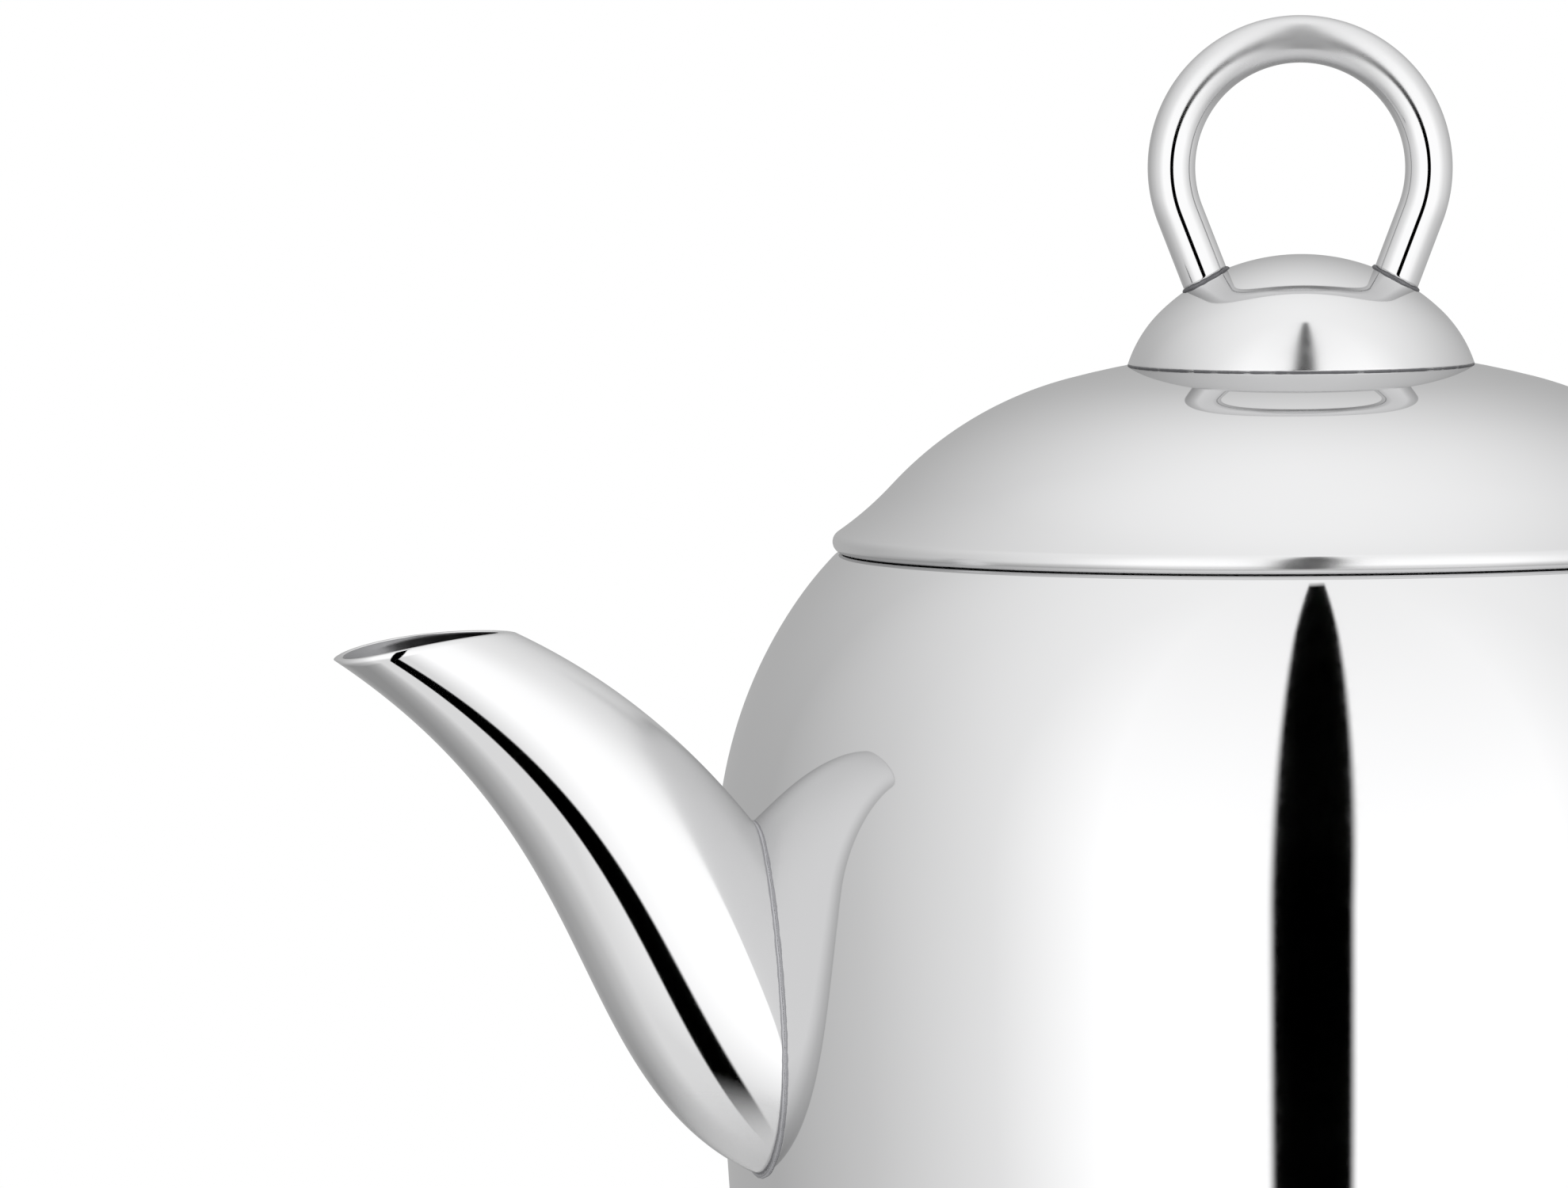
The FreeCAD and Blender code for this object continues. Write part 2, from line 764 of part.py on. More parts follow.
def make_knob_nut(doc, d):
    """Six-sided cap nut on the end of the stud, inside the lid."""
    body = new_body(doc, "knob_nut")
    top = washer_top(d) - d.washer_gauge
    sketch = new_sketch(body, "nut_flats_outline", "XY_Plane")
    sketch.setExpression("AttachmentOffset.Base.z", top.text)
    sides = 6
    corner = d.nut_flats / math.sqrt(3)
    circle = sketch.addGeometry(Part.Circle(Vector(0, 0, 0), UP, corner.number), True)
    sketch.addConstraint(Sketcher.Constraint("Coincident", circle, 3, -1, 1))
    bind(sketch, "Radius", circle, size=corner)
    angles = [math.tau * index / sides for index in range(sides)]
    corners = [Vector(math.cos(angle), math.sin(angle), 0) * corner.number for angle in angles]
    lines = [
        sketch.addGeometry(Part.LineSegment(corners[index], corners[(index + 1) % sides]))
        for index in range(sides)
    ]
    for index, line in enumerate(lines):
        following = lines[(index + 1) % sides]
        sketch.addConstraint(Sketcher.Constraint("Coincident", line, 2, following, 1))
        sketch.addConstraint(Sketcher.Constraint("PointOnObject", line, 1, circle))
        if index:
            sketch.addConstraint(Sketcher.Constraint("Equal", lines[0], line))
    sketch.addConstraint(Sketcher.Constraint("PointOnObject", lines[0], 1, -1))
    doc.recompute()
    pad = body.newObject("PartDesign::Pad", "nut_hexagon")
    pad.Profile = sketch
    pad.setExpression("Length", d.nut_height.text)
    pad.Reversed = True
    sketch.Visibility = False
    doc.recompute()
    low = top - d.nut_height
    cap = [(ZERO, low - d.nut_cap), (d.nut_cap, low), (ZERO, low)]
    turn(body, "nut_cap_dome", cap, [Arc(d.nut_cap, 1), None, None])
    doc.recompute()
    bore = d.stud_radius + d.thread_gap
    crown = d.dome_crown - d.dome_wall
    head = d.dome_top - d.dome_crown + leg(crown, d.stud_flange)
    end = head - d.stud_flange_gauge - d.stud_length - d.thread_gap
    hole = [(ZERO, end), (bore, end), (bore, top), (ZERO, top)]
    turn(body, "nut_bore", hole, [None, None, None, None], "PartDesign::Groove")
    return body


def check(doc, pieces):
    """Stop if any feature failed or any piece has no valid solid."""
    for thing in doc.Objects:
        if "Invalid" in thing.State or "Error" in thing.State:
            raise RuntimeError(f"{thing.Name} failed: {thing.State}")
    for piece in pieces:
        shape = piece.Shape
        if shape.isNull() or not shape.isValid() or not shape.Solids:
            raise RuntimeError(f"{piece.Label} has no valid solid")
        print(piece.Label, len(shape.Solids), round(shape.Volume, 1), shape.BoundBox)


def main():
    """Build the document and write one file per piece."""
    os.makedirs("parts", exist_ok=True)
    doc = FreeCAD.newDocument("coffee_pot")
    d = Dims(make_sheet(doc))
    blank = make_body_blank(doc, d, "body_blank", ZERO)
    doc.recompute()
    pieces = [
        make_body_shell(doc, d),
        make_base_plate(doc, d),
        make_spout(doc, d, blank),
        make_spout_weld(doc, d, blank),
        make_handle(doc, d),
        make_handle_welds(doc, d, blank),
        make_lid_shell(doc, d),
        make_lid_skirt(doc, d),
        make_knob_dome(doc, d),
        make_knob_ring(doc, d),
        make_knob_ring_welds(doc, d),
        make_knob_stud(doc, d),
        make_knob_washer(doc, d),
        make_knob_nut(doc, d),
    ]
    doc.recompute()
    check(doc, pieces)
    for piece in pieces:
        piece.Shape.exportStep(f"parts/{piece.Label}.step")


main()
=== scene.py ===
"""Looks of a polished steel coffee pot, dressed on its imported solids.

The mirror surfaces are remade as fine smooth meshes from the same sizes as the solids, because a
mirror shows every facet.  Lengths below are in millimetres until a mesh is made, in metres.
"""

import logging
import math
from dataclasses import dataclass, field
from enum import Enum
from typing import Callable

import bmesh
import bpy
from mathutils import Matrix, Vector

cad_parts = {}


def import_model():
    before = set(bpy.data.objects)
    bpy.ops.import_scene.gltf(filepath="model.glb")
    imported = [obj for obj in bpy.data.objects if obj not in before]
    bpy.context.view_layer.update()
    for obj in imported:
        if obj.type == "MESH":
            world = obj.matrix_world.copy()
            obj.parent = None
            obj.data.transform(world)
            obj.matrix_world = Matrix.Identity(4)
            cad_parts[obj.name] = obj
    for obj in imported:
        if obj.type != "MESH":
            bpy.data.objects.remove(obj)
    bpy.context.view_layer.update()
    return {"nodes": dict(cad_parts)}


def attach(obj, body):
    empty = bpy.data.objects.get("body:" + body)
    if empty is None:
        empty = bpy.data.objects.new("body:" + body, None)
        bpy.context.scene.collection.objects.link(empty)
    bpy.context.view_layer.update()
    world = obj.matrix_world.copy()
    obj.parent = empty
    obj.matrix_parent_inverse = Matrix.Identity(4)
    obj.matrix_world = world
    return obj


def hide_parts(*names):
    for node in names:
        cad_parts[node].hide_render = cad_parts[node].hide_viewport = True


logging.basicConfig(level=logging.INFO, format="%(message)s")
LOG = logging.getLogger("coffee_pot")

MM = 0.001
AROUND = 256
TUBE_AROUND = 48
ARC_STEP = math.radians(1.5)
MARK_RANGE = (0.1, 0.5)
CLOUD_SCALE = 45.0
HAZE = 0.97
SIDEWAYS = Vector((0.0, 1.0, 0.0))
TO_BODY = Vector((-1.0, 0.0, 0.0))
LEG_REACH = 16.0
HANDLE_REACH = 80.0
ROOT_STATION = 0.25

Point = tuple[float, float]


class Rider(Enum):
    """The rigid bodies that the pieces ride on."""

    POT = "pot"
    LID = "lid"


class Slot(Enum):
    """The material slots of the record."""

    POLISHED = "polished"
    WELD = "weld"
    INNER = "inner"


@dataclass(frozen=True)
class BodySizes:
    """Sizes of the pot's body."""

    wall: float = 0.8
    belly_radius: float = 63.0
    belly_height: float = 76.3
    belly_bow: float = 534.0
    heel_bend: float = 20.0
    foot_opening: float = 33.0
    shoulder_bend: float = 48.9
    shoulder_turn: float = math.radians(33.9)
    crown_bend: float = 40.1
    seat_height: float = 109.4
    collar_radius: float = 46.4
    collar_depth: float = 6.0
    port_radius: float = 6.3
    port_height: float = 57.0


@dataclass(frozen=True)
class SpoutSizes:
    """Sizes of the spout: control points of its centre line, its sections and the cut of its lip."""

    wall: float = 0.8
    reach: tuple[float, ...] = (101.94, 65.13, 69.66, 48.5)
    height: tuple[float, ...] = (101.8, 82.98, 52.35, 54.3)
    thickness: tuple[float, ...] = (11.16, 32.51, 23.03)
    width: tuple[float, ...] = (12.86, 16.74, 16.76)
    beak: Point = (108.5, 100.43)
    heel: Point = (88.0, 102.83)
    lip_bow: float = 0.78
    first_station: float = -0.12
    last_station: float = 0.96


@dataclass(frozen=True)
class LidSizes:
    """Sizes of the lid."""

    wall: float = 0.8
    top: float = 131.08
    crown: float = 99.8
    crown_turn: float = math.radians(14.72)
    dome: float = 39.0
    dome_turn: float = math.radians(47.0)
    flare: float = 36.3
    rim_slope: float = math.radians(34.7)
    hem_radius: float = 47.6
    hem_height: float = 109.45
    hole_radius: float = 2.7


@dataclass(frozen=True)
class KnobSizes:
    """Sizes of the knob's dome and its finger loop."""

    wall: float = 0.9
    top: float = 141.2
    crown: float = 21.7
    turn: float = math.radians(43.6)
    side: float = 13.9
    radius: float = 18.6
    gap: float = 0.05
    rod: float = 2.55
    loop_radius: float = 13.8
    loop_height: float = 150.5
    loop_lean: float = math.radians(21.0)
    loop_turn: float = math.radians(-19.6)


@dataclass(frozen=True)
class HandleSizes:
    """Sizes of the bent tube of the handle."""

    tube: float = 5.0
    top: float = 89.0
    bend: float = 19.0
    reach: float = 101.3
    lean: float = math.radians(12.0)
    foot: float = 36.0


BODY = BodySizes()
SPOUT = SpoutSizes()
LID = LidSizes()
KNOB = KnobSizes()
HANDLE = HandleSizes()


def arc(centre: Point, radius: float, start: float, end: float) -> list[Point]:
    """Points on a circular arc, both ends included.

    Args:
        centre: centre of the arc.
        radius: its radius.
        start: first angle in radians from the first axis.
        end: last angle.

    Returns:
        The points from start to end.
    """
    count = max(4, math.ceil(abs(end - start) / ARC_STEP))
    angles = [start + (end - start) * index / count for index in range(count + 1)]
    return [(centre[0] + radius * math.cos(a), centre[1] + radius * math.sin(a)) for a in angles]


def straight(start: Point, end: Point, step: float = 1.5) -> list[Point]:
    """Points on a straight run without its two ends.

    Args:
        start: where the run starts.
        end: where it ends.
        step: longest distance between points.

    Returns:
        The points between the ends.
    """
    count = max(1, math.ceil(math.dist(start, end) / step))
    shares = [index / count for index in range(1, count)]
    return [(start[0] + (end[0] - start[0]) * s, start[1] + (end[1] - start[1]) * s) for s in shares]


def link(*runs: list[Point]) -> list[Point]:
    """Join runs of points into one outline, with straight stretches between them.

    Args:
        runs: the runs in order.

    Returns:
        One list of points.
    """
    outline: list[Point] = []
    for run in runs:
        if outline and math.dist(outline[-1], run[0]) > 1e-6:
            outline += straight(outline[-1], run[0])
            outline += run
        else:
            outline += run[1:] if outline else run
    return outline


def body_skin(inset: float) -> list[Point]:
    """Half section of the body's skin from its foot to the seat of the lid.

    Args:
        inset: distance inside the outer face.

    Returns:
        The points from the bottom up.
    """
    belly = (BODY.belly_radius - BODY.belly_bow, BODY.belly_height)
    drop = math.asin((BODY.belly_height - BODY.heel_bend) / (BODY.belly_bow - BODY.heel_bend))
    inner_step = BODY.belly_bow - BODY.heel_bend
    heel = (belly[0] + inner_step * math.cos(drop), BODY.heel_bend)
    shoulder = (BODY.belly_radius - BODY.shoulder_bend, BODY.belly_height)
    step = BODY.shoulder_bend - BODY.crown_bend
    turn = BODY.shoulder_turn
    crown = (shoulder[0] + step * math.cos(turn), shoulder[1] + step * math.sin(turn))
    top = math.asin((BODY.seat_height - inset - crown[1]) / (BODY.crown_bend - inset))
    belly_run = 48
    bow = [
        (
            belly[0] + (BODY.belly_bow - inset) * math.cos(drop * (index / belly_run - 1)),
            belly[1] + (BODY.belly_bow - inset) * math.sin(drop * (index / belly_run - 1)),
        )
        for index in range(belly_run + 1)
    ]
    return link(
        arc(heel, BODY.heel_bend - inset, -math.pi / 2, -drop),
        bow,
        arc(shoulder, BODY.shoulder_bend - inset, 0.0, turn),
        arc(crown, BODY.crown_bend - inset, turn, top),
    )


def body_radius(height: float) -> float:
    """Radius of the body's outer face at a height.

    Args:
        height: height above the base.

    Returns:
        The radius there.
    """
    skin = OUTER_SKIN
    for (r0, z0), (r1, z1) in zip(skin, skin[1:]):
        if z0 <= height <= z1:
            return r0 + (r1 - r0) * (height - z0) / max(z1 - z0, 1e-9)
    return skin[-1][0] if height > skin[-1][1] else skin[0][0]


OUTER_SKIN = body_skin(0.0)


def off_body(point: Vector) -> float:
    """Distance of a point from the body's outer face.

    Args:
        point: the point.

    Returns:
        The level distance, negative inside.
    """
    return math.hypot(point.x, point.y) - body_radius(point.z)


def lid_skin(inset: float, last_slope: float) -> list[Point]:
    """Half section of the lid's skin from the stud hole to its flared edge.

    Args:
        inset: distance inside the outer face.
        last_slope: slope at which the flare stops.

    Returns:
        The points from the axis outwards.
    """
    quarter = math.pi / 2
    crown = (0.0, LID.top - LID.crown)
    step = LID.crown - LID.dome
    dome = (step * math.sin(LID.crown_turn), crown[1] + step * math.cos(LID.crown_turn))
    reach = LID.dome + LID.flare
    flare = (dome[0] + reach * math.sin(LID.dome_turn), dome[1] + reach * math.cos(LID.dome_turn))
    first = math.asin(LID.hole_radius / (LID.crown - inset))
    return link(
        arc(crown, LID.crown - inset, quarter - first, quarter - LID.crown_turn),
        arc(dome, LID.dome - inset, quarter - LID.crown_turn, quarter - LID.dome_turn),
        arc(flare, LID.flare + inset, -quarter - LID.dome_turn, -quarter - last_slope),
    )


def knob_skin(inset: float, foot: float) -> list[Point]:
    """Half section of the knob's dome from its foot to the axis.

    Args:
        inset: distance inside the outer face.
        foot: height at which it stands on the lid.

    Returns:
        The points from the foot up.
    """
    crown = (0.0, KNOB.top - KNOB.crown)
    step = KNOB.crown - KNOB.side
    side = (step * math.sin(KNOB.turn), crown[1] + step * math.cos(KNOB.turn))
    first = math.asin((foot - side[1]) / (KNOB.side - inset))
    quarter = math.pi / 2
    return link(
        arc(side, KNOB.side - inset, first, quarter - KNOB.turn),
        arc(crown, KNOB.crown - inset, quarter - KNOB.turn, quarter),
    )


def lid_height(radius: float) -> float:
    """Height of the lid's top near the axis.

    Args:
        radius: distance from the axis.

    Returns:
        The height there.
    """
    return LID.top - LID.crown + math.sqrt(LID.crown**2 - radius**2)


class NodeTree:
    """Small helper that adds and links shader or geometry nodes."""

    def __init__(self, tree: bpy.types.NodeTree) -> None:
        """Start with an empty tree.

        Args:
            tree: the tree to fill.
        """
        self.tree = tree
        tree.nodes.clear()

    def add(self, kind: str, inputs: dict | None = None, **settings: object) -> bpy.types.Node:
        """Add a node.

        Args:
            kind: its type name.
            inputs: socket name or index to a value, or to a socket to link from.
            settings: properties set on the node before its sockets.

        Returns:
            The new node.
        """
        node = self.tree.nodes.new(kind)
        for name, value in settings.items():
            setattr(node, name, value)
        for key, value in (inputs or {}).items():
            if isinstance(value, bpy.types.NodeSocket):
                self.tree.links.new(value, node.inputs[key])
            else:
                node.inputs[key].default_value = value
        return node

    def math(self, operation: str, *values: object) -> bpy.types.NodeSocket:
        """Add a math node.

        Args:
            operation: its operation.
            values: numbers or sockets in order.

        Returns:
            Its output socket.
        """
        return self.add("ShaderNodeMath", dict(enumerate(values)), operation=operation).outputs[0]

    def dot(self, vector: bpy.types.NodeSocket, along: object) -> bpy.types.NodeSocket:
        """Measure a vector along a direction.

        Args:
            vector: what is measured.
            along: the direction.

        Returns:
            The socket of the measure.
        """
        node = self.add("ShaderNodeVectorMath", {0: vector, 1: along}, operation="DOT_PRODUCT")
        return node.outputs["Value"]

    def span(
        self,
        value: bpy.types.NodeSocket,
        given: tuple[float, float],
        wanted: tuple[float, float] = (0.0, 1.0),
        smooth: bool = False,
    ) -> bpy.types.NodeSocket:
        """Map one range of a value to another, held at both ends.

        Args:
            value: what is mapped.
            given: the range that it comes in.
            wanted: the range that it goes out in.
            smooth: ease in and out.

        Returns:
            The socket of the result.
        """
        ends = dict(zip(("From Min", "From Max", "To Min", "To Max"), (*given, *wanted)))
        kind = "SMOOTHSTEP" if smooth else "LINEAR"
        node = self.add("ShaderNodeMapRange", {"Value": value, **ends}, interpolation_type=kind)
        return node.outputs["Result"]

    def blend(self, share: object, first: object, second: object) -> bpy.types.NodeSocket:
        """Mix two colours.

        Args:
            share: how much of the second colour.
            first: a colour, or a socket to link from.
            second: the other one.

        Returns:
            The socket of the mixed colour.
        """
        node = self.add("ShaderNodeMix", {"Factor": share, "A": first, "B": second}, data_type="RGBA")
        return node.outputs["Result"]

    def ramp(self, value: bpy.types.NodeSocket, stops: tuple[Point, ...]) -> bpy.types.NodeSocket:
        """Add a grey ramp.

        Args:
            value: what drives it.
            stops: pairs of position and brightness.

        Returns:
            Its colour socket.
        """
        node = self.add("ShaderNodeValToRGB", {"Fac": value})
        ramp = node.color_ramp
        ramp.elements[0].position, ramp.elements[-1].position = stops[0][0], stops[-1][0]
        while len(ramp.elements) < len(stops):
            ramp.elements.new(0.5)
        for element, (position, level) in zip(ramp.elements, stops):
            element.position = position
            element.color = grey(level)
        return node.outputs["Color"]


@dataclass(frozen=True)
class MetalFinish:
    """A steel finish: its tint, its gloss and the fine marks of its making.

    A finish can be dulled: between two distances in metres along a direction, roughness is added.
    """

    name: str
    tint: tuple[float, float, float]
    gloss: tuple[float, float]
    mark_scale: float
    mark_depth: float
    grain: tuple[float, float, float] = (1.0, 1.0, 1.0)
    dulled: tuple[float, float, float] | None = None
    dulled_along: tuple[float, float, float] = (0.0, 0.0, 1.0)

    def material(self) -> bpy.types.Material:
        """Make the material, or return it if it exists.

        Returns:
            The node material.
        """
        made = bpy.data.materials.get(self.name)
        if made:
            return made
        made = bpy.data.materials.new(self.name)
        made.use_nodes = True
        nodes = NodeTree(made.node_tree)
        place = nodes.add("ShaderNodeTexCoord").outputs["Object"]
        stretched = nodes.add("ShaderNodeMapping", {"Vector": place, "Scale": self.grain}).outputs[0]
        fine = nodes.add(
            "ShaderNodeTexNoise",
            {"Vector": stretched, "Scale": self.mark_scale, "Detail": 6.0, "Roughness": 0.6},
        )
        cloud = nodes.add("ShaderNodeTexNoise", {"Vector": place, "Scale": CLOUD_SCALE, "Detail": 3.0})
        mixed = nodes.math("MULTIPLY", fine.outputs["Fac"], cloud.outputs["Fac"])
        roughness = nodes.span(mixed, MARK_RANGE, self.gloss)
        if self.dulled:
            low, high, added = self.dulled
            worn = nodes.span(nodes.dot(place, self.dulled_along), (low, high), (0.0, added))
            roughness = nodes.math("ADD", roughness, worn)
        bump = nodes.add(
            "ShaderNodeBump", {"Height": fine.outputs["Fac"], "Strength": 1.0, "Distance": self.mark_depth}
        )
        clean = (*self.tint, 1.0)
        hazy = (*(HAZE * part for part in self.tint), 1.0)
        tone = nodes.blend(cloud.outputs["Fac"], clean, hazy)
        shader = nodes.add(
            "ShaderNodeBsdfPrincipled",
            {
                "Base Color": tone,
                "Metallic": 1.0,
                "Roughness": roughness,
                "Normal": bump.outputs["Normal"],
            },
        )
        nodes.add("ShaderNodeOutputMaterial", {"Surface": shader.outputs["BSDF"]})
        return made


DOWN = (0.0, 0.0, -1.0)
BRIGHT = (0.90, 0.90, 0.905)
FINE = (900.0, 2e-7)
MIRROR = MetalFinish("mirror_steel", BRIGHT, (0.02, 0.06), *FINE)
SATIN = MetalFinish("satin_steel", (0.72, 0.72, 0.73), (0.18, 0.34), 700.0, 4e-6, grain=(1.0, 1.0, 6.0))
# duller towards the body, where a polishing wheel hardly reaches
SWEPT = MetalFinish(
    "swept_steel",
    (0.89, 0.89, 0.895),
    (0.025, 0.06),
    *FINE,
    dulled=(0.0088, 0.0165, 0.22),
    dulled_along=(0.66, 0.0, 0.75),
)
# duller towards the seam on the lid
CUPPED = MetalFinish(
    "cupped_steel", BRIGHT, (0.03, 0.07), *FINE, dulled=(-0.1375, -0.1315, 0.14), dulled_along=DOWN
)
# duller on the folded rim
ROLLED = MetalFinish(
    "rolled_steel", BRIGHT, (0.02, 0.06), *FINE, dulled=(-0.1130, -0.1108, 0.16), dulled_along=DOWN
)
# duller at the top of the bend
LOOP = MetalFinish("bent_steel", (0.86, 0.86, 0.865), (0.03, 0.08), *FINE, dulled=(0.153, 0.1625, 0.24))
BEAD = MetalFinish("weld_steel", (0.5, 0.5, 0.52), (0.15, 0.45), 420.0, 6e-5)
# beads at the dome's edge and the loop's feet: real joints, their near-black tint painted contact shade
# between the parts
SOLDER_PAINTED_SHADE = MetalFinish("solder_painted_shade", (0.2, 0.2, 0.21), (0.3, 0.6), 900.0, 5e-5)
# inside of the spout: rougher steel whose dark tint is painted shade in the hollow
BORE_PAINTED_SHADE = MetalFinish("bore_steel_painted_shade", (0.36, 0.36, 0.37), (0.28, 0.5), 700.0, 2e-5)


@dataclass
class Piece:
    """One visible piece: the mesh that it makes and what it stands for."""

    name: str
    rider: Rider
    slot: Slot
    finish: MetalFinish
    nodes: tuple[str, ...] = ()
    made: bpy.types.Object | None = field(default=None, init=False)

    def finish_mesh(self, mesh: bpy.types.Mesh, more: tuple[MetalFinish, ...] = ()) -> bpy.types.Object:
        """Turn a mesh into the finished piece on its body.

        Args:
            mesh: the mesh in metres in the frame of the part.
            more: further finishes for faces with a material index above 0.

        Returns:
            The object.
        """
        self.made = bpy.data.objects.new(self.name, mesh)
        bpy.context.scene.collection.objects.link(self.made)
        if len(mesh.materials):
            mesh.materials.clear()
        for finish in (self.finish, *more):
            mesh.materials.append(finish.material())
        for polygon in mesh.polygons:
            polygon.use_smooth = True
        if self.nodes:
            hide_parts(*self.nodes)
        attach(self.made, self.rider.value)
        LOG.info("%s: %d faces", self.name, len(mesh.polygons))
        return self.made


def grid_mesh(
    name: str,
    rows: list[list[Vector]],
    close_rows: bool,
    tag: Callable[[int], int] | None = None,
) -> bpy.types.Mesh:
    """Mesh over a grid of points, closed around each row.

    Args:
        name: name of the mesh.
        rows: rings of points in millimetres, or single points where the mesh closes on the axis.
        close_rows: join the last row to the first.
        tag: material index by row, if it has several.

    Returns:
        The mesh in metres, faces outwards.
    """
    build = bmesh.new()
    rings = [[build.verts.new(point * MM) for point in row] for row in rows]
    pairs = list(zip(rings, rings[1:]))
    if close_rows:
        pairs.append((rings[-1], rings[0]))
    for index, (low, high) in enumerate(pairs):
        count = max(len(low), len(high))
        for here in range(count):
            there = (here + 1) % count
            below = [low[here % len(low)], low[there % len(low)]]
            above = [high[there % len(high)], high[here % len(high)]]
            unique = list(dict.fromkeys(below + above))
            if len(unique) > 2:
                face = build.faces.new(unique)
                face.material_index = tag(index) if tag else 0
    bmesh.ops.recalc_face_normals(build, faces=build.faces[:])
    mesh = bpy.data.meshes.new(name)
    build.to_mesh(mesh)
    build.free()
    return mesh


def lathe_rows(outline: list[Point], around: int = AROUND) -> list[list[Vector]]:
    """Rings of points of an outline turned about the axis.

    Args:
        outline: half section.
        around: points in each ring.

    Returns:
        One ring, or one point on the axis, for each point of the outline.
    """
    turns = [math.tau * index / around for index in range(around)]
    rows: list[list[Vector]] = []
    for radius, height in outline:
        if radius < 1e-6:
            rows.append([Vector((0.0, 0.0, height))])
        else:
            rows.append([Vector((radius * math.cos(a), radius * math.sin(a), height)) for a in turns])
    return rows


def soften(outline: list[Point], corners: list[Point], radius: float) -> list[Point]:
    """Round chosen corners of an outline with small bends.

    Args:
        outline: closed outline.
        corners: corner points to round.
        radius: distance from the corner at which the bend starts.

    Returns:
        The outline with each corner replaced by a short curve.
    """
    result: list[Point] = []
    count = len(outline)
    for index, here in enumerate(outline):
        if not any(math.dist(here, corner) < 1e-6 for corner in corners):
            result.append(here)
            continue
        before, after = Vector(outline[index - 1]), Vector(outline[(index + 1) % count])
        corner = Vector(here)
        start = corner + (before - corner).normalized() * min(radius, (before - corner).length * 0.5)
        end = corner + (after - corner).normalized() * min(radius, (after - corner).length * 0.5)
        for share in (0.0, 0.25, 0.5, 0.75, 1.0):
            point = start * (1 - share) ** 2 + corner * 2 * share * (1 - share) + end * share**2
            result.append((point.x, point.y))
    return result


@dataclass
class BodyShell(Piece):
    """The pot's body with its collar and pour port."""

    def build(self) -> None:
        """Turn the body's sheet and cut the port under the spout."""
        low = BODY.seat_height - BODY.collar_depth
        inner = list(reversed(body_skin(BODY.wall)))
        foot = (BODY.foot_opening, 0.0)
        collar = [
            (BODY.collar_radius, BODY.seat_height),
            (BODY.collar_radius, low),
            (BODY.collar_radius + BODY.wall, low),
            (BODY.collar_radius + BODY.wall, BODY.seat_height - BODY.wall),
        ]
        lip = OUTER_SKIN[-1]
        outline = link([foot], OUTER_SKIN, collar, inner, [(BODY.foot_opening, BODY.wall), foot])[:-1]
        outline = soften(outline, [lip, collar[0], collar[1], collar[2]], 0.4)
        mesh = grid_mesh(self.name, lathe_rows(outline), close_rows=True)
        self.finish_mesh(self.pierced(mesh))

    def pierced(self, mesh: bpy.types.Mesh) -> bpy.types.Mesh:
        """Cut the pour port through the wall.

        Args:
            mesh: the whole body.

        Returns:
            The body with its port.
        """
        build = bmesh.new()
        placed = Matrix.Translation((-BODY.belly_radius * MM, 0.0, BODY.port_height * MM))
        placed @= Matrix.Rotation(math.pi / 2, 4, "Y")
        bmesh.ops.create_cone(
            build,
            cap_ends=True,
            segments=96,
            radius1=BODY.port_radius * MM,
            radius2=BODY.port_radius * MM,
            depth=12 * MM,
            matrix=placed,
        )
        tool_mesh = bpy.data.meshes.new("port_tool")
        build.to_mesh(tool_mesh)
        build.free()
        tool = bpy.data.objects.new("port_tool", tool_mesh)
        blank = bpy.data.objects.new("body_blank", mesh)
        for thing in (tool, blank):
            bpy.context.scene.collection.objects.link(thing)
        cut = blank.modifiers.new("port", "BOOLEAN")
        cut.operation = "DIFFERENCE"
        cut.solver = "EXACT"
        cut.object = tool
        bpy.context.view_layer.update()
        ready = blank.evaluated_get(bpy.context.evaluated_depsgraph_get())
        result = bpy.data.meshes.new_from_object(ready)
        for thing in (tool, blank):
            bpy.data.objects.remove(thing)
        return result


@dataclass
class LidShell(Piece):
    """The lid: low dome, flared edge and folded rim."""

    def build(self) -> None:
        """Turn the lid's sheet."""
        outer = lid_skin(0.0, LID.rim_slope)
        edge = outer[-1]
        bend = (edge[1] - LID.hem_height) / (1 + math.cos(LID.rim_slope))
        centre = (edge[0] - bend * math.sin(LID.rim_slope), LID.hem_height + bend)
        rim = arc(centre, bend, math.pi / 2 - LID.rim_slope, -math.pi / 2)
        inner = [p for p in lid_skin(LID.wall, LID.rim_slope) if p[0] <= LID.hem_radius]
        hem = (LID.hem_radius, LID.hem_height)
        outline = link(outer, rim, [hem], list(reversed(inner)))
        mesh = grid_mesh(self.name, lathe_rows(outline), close_rows=True)
        self.finish_mesh(mesh)


@dataclass
class KnobDome(Piece):
    """The pressed dome of the knob."""

    def build(self) -> None:
        """Turn the dome's sheet."""
        outer = knob_skin(0.0, lid_height(KNOB.radius) + KNOB.gap)
        inner = knob_skin(KNOB.wall, lid_height(KNOB.radius - KNOB.wall) + KNOB.gap)
        outline = link(list(reversed(inner)), outer)
        mesh = grid_mesh(self.name, lathe_rows(outline), close_rows=False)
        self.finish_mesh(mesh)


def tube_rows(path: list[Vector], radius: float, around: int = TUBE_AROUND) -> list[list[Vector]]:
    """Rings along a path in the XZ plane.

    Args:
        path: points of the centre line.
        radius: radius of the rod.
        around: points in each ring.

    Returns:
        The rings.
    """
    rows: list[list[Vector]] = []
    for index, point in enumerate(path):
        ahead = path[min(index + 1, len(path) - 1)] - path[max(index - 1, 0)]
        across = ahead.normalized().cross(SIDEWAYS)
        turns = [math.tau * k / around for k in range(around)]
        rows.append([point + (across * math.cos(a) + SIDEWAYS * math.sin(a)) * radius for a in turns])
    return rows


def capped(path: list[Vector], rows: list[list[Vector]]) -> list[list[Vector]]:
    """Close a tube at both ends.

    Args:
        path: points of the centre line.
        rows: its rings.

    Returns:
        The rings with a point at each end.
    """
    return [[path[0]], *rows, [path[-1]]]


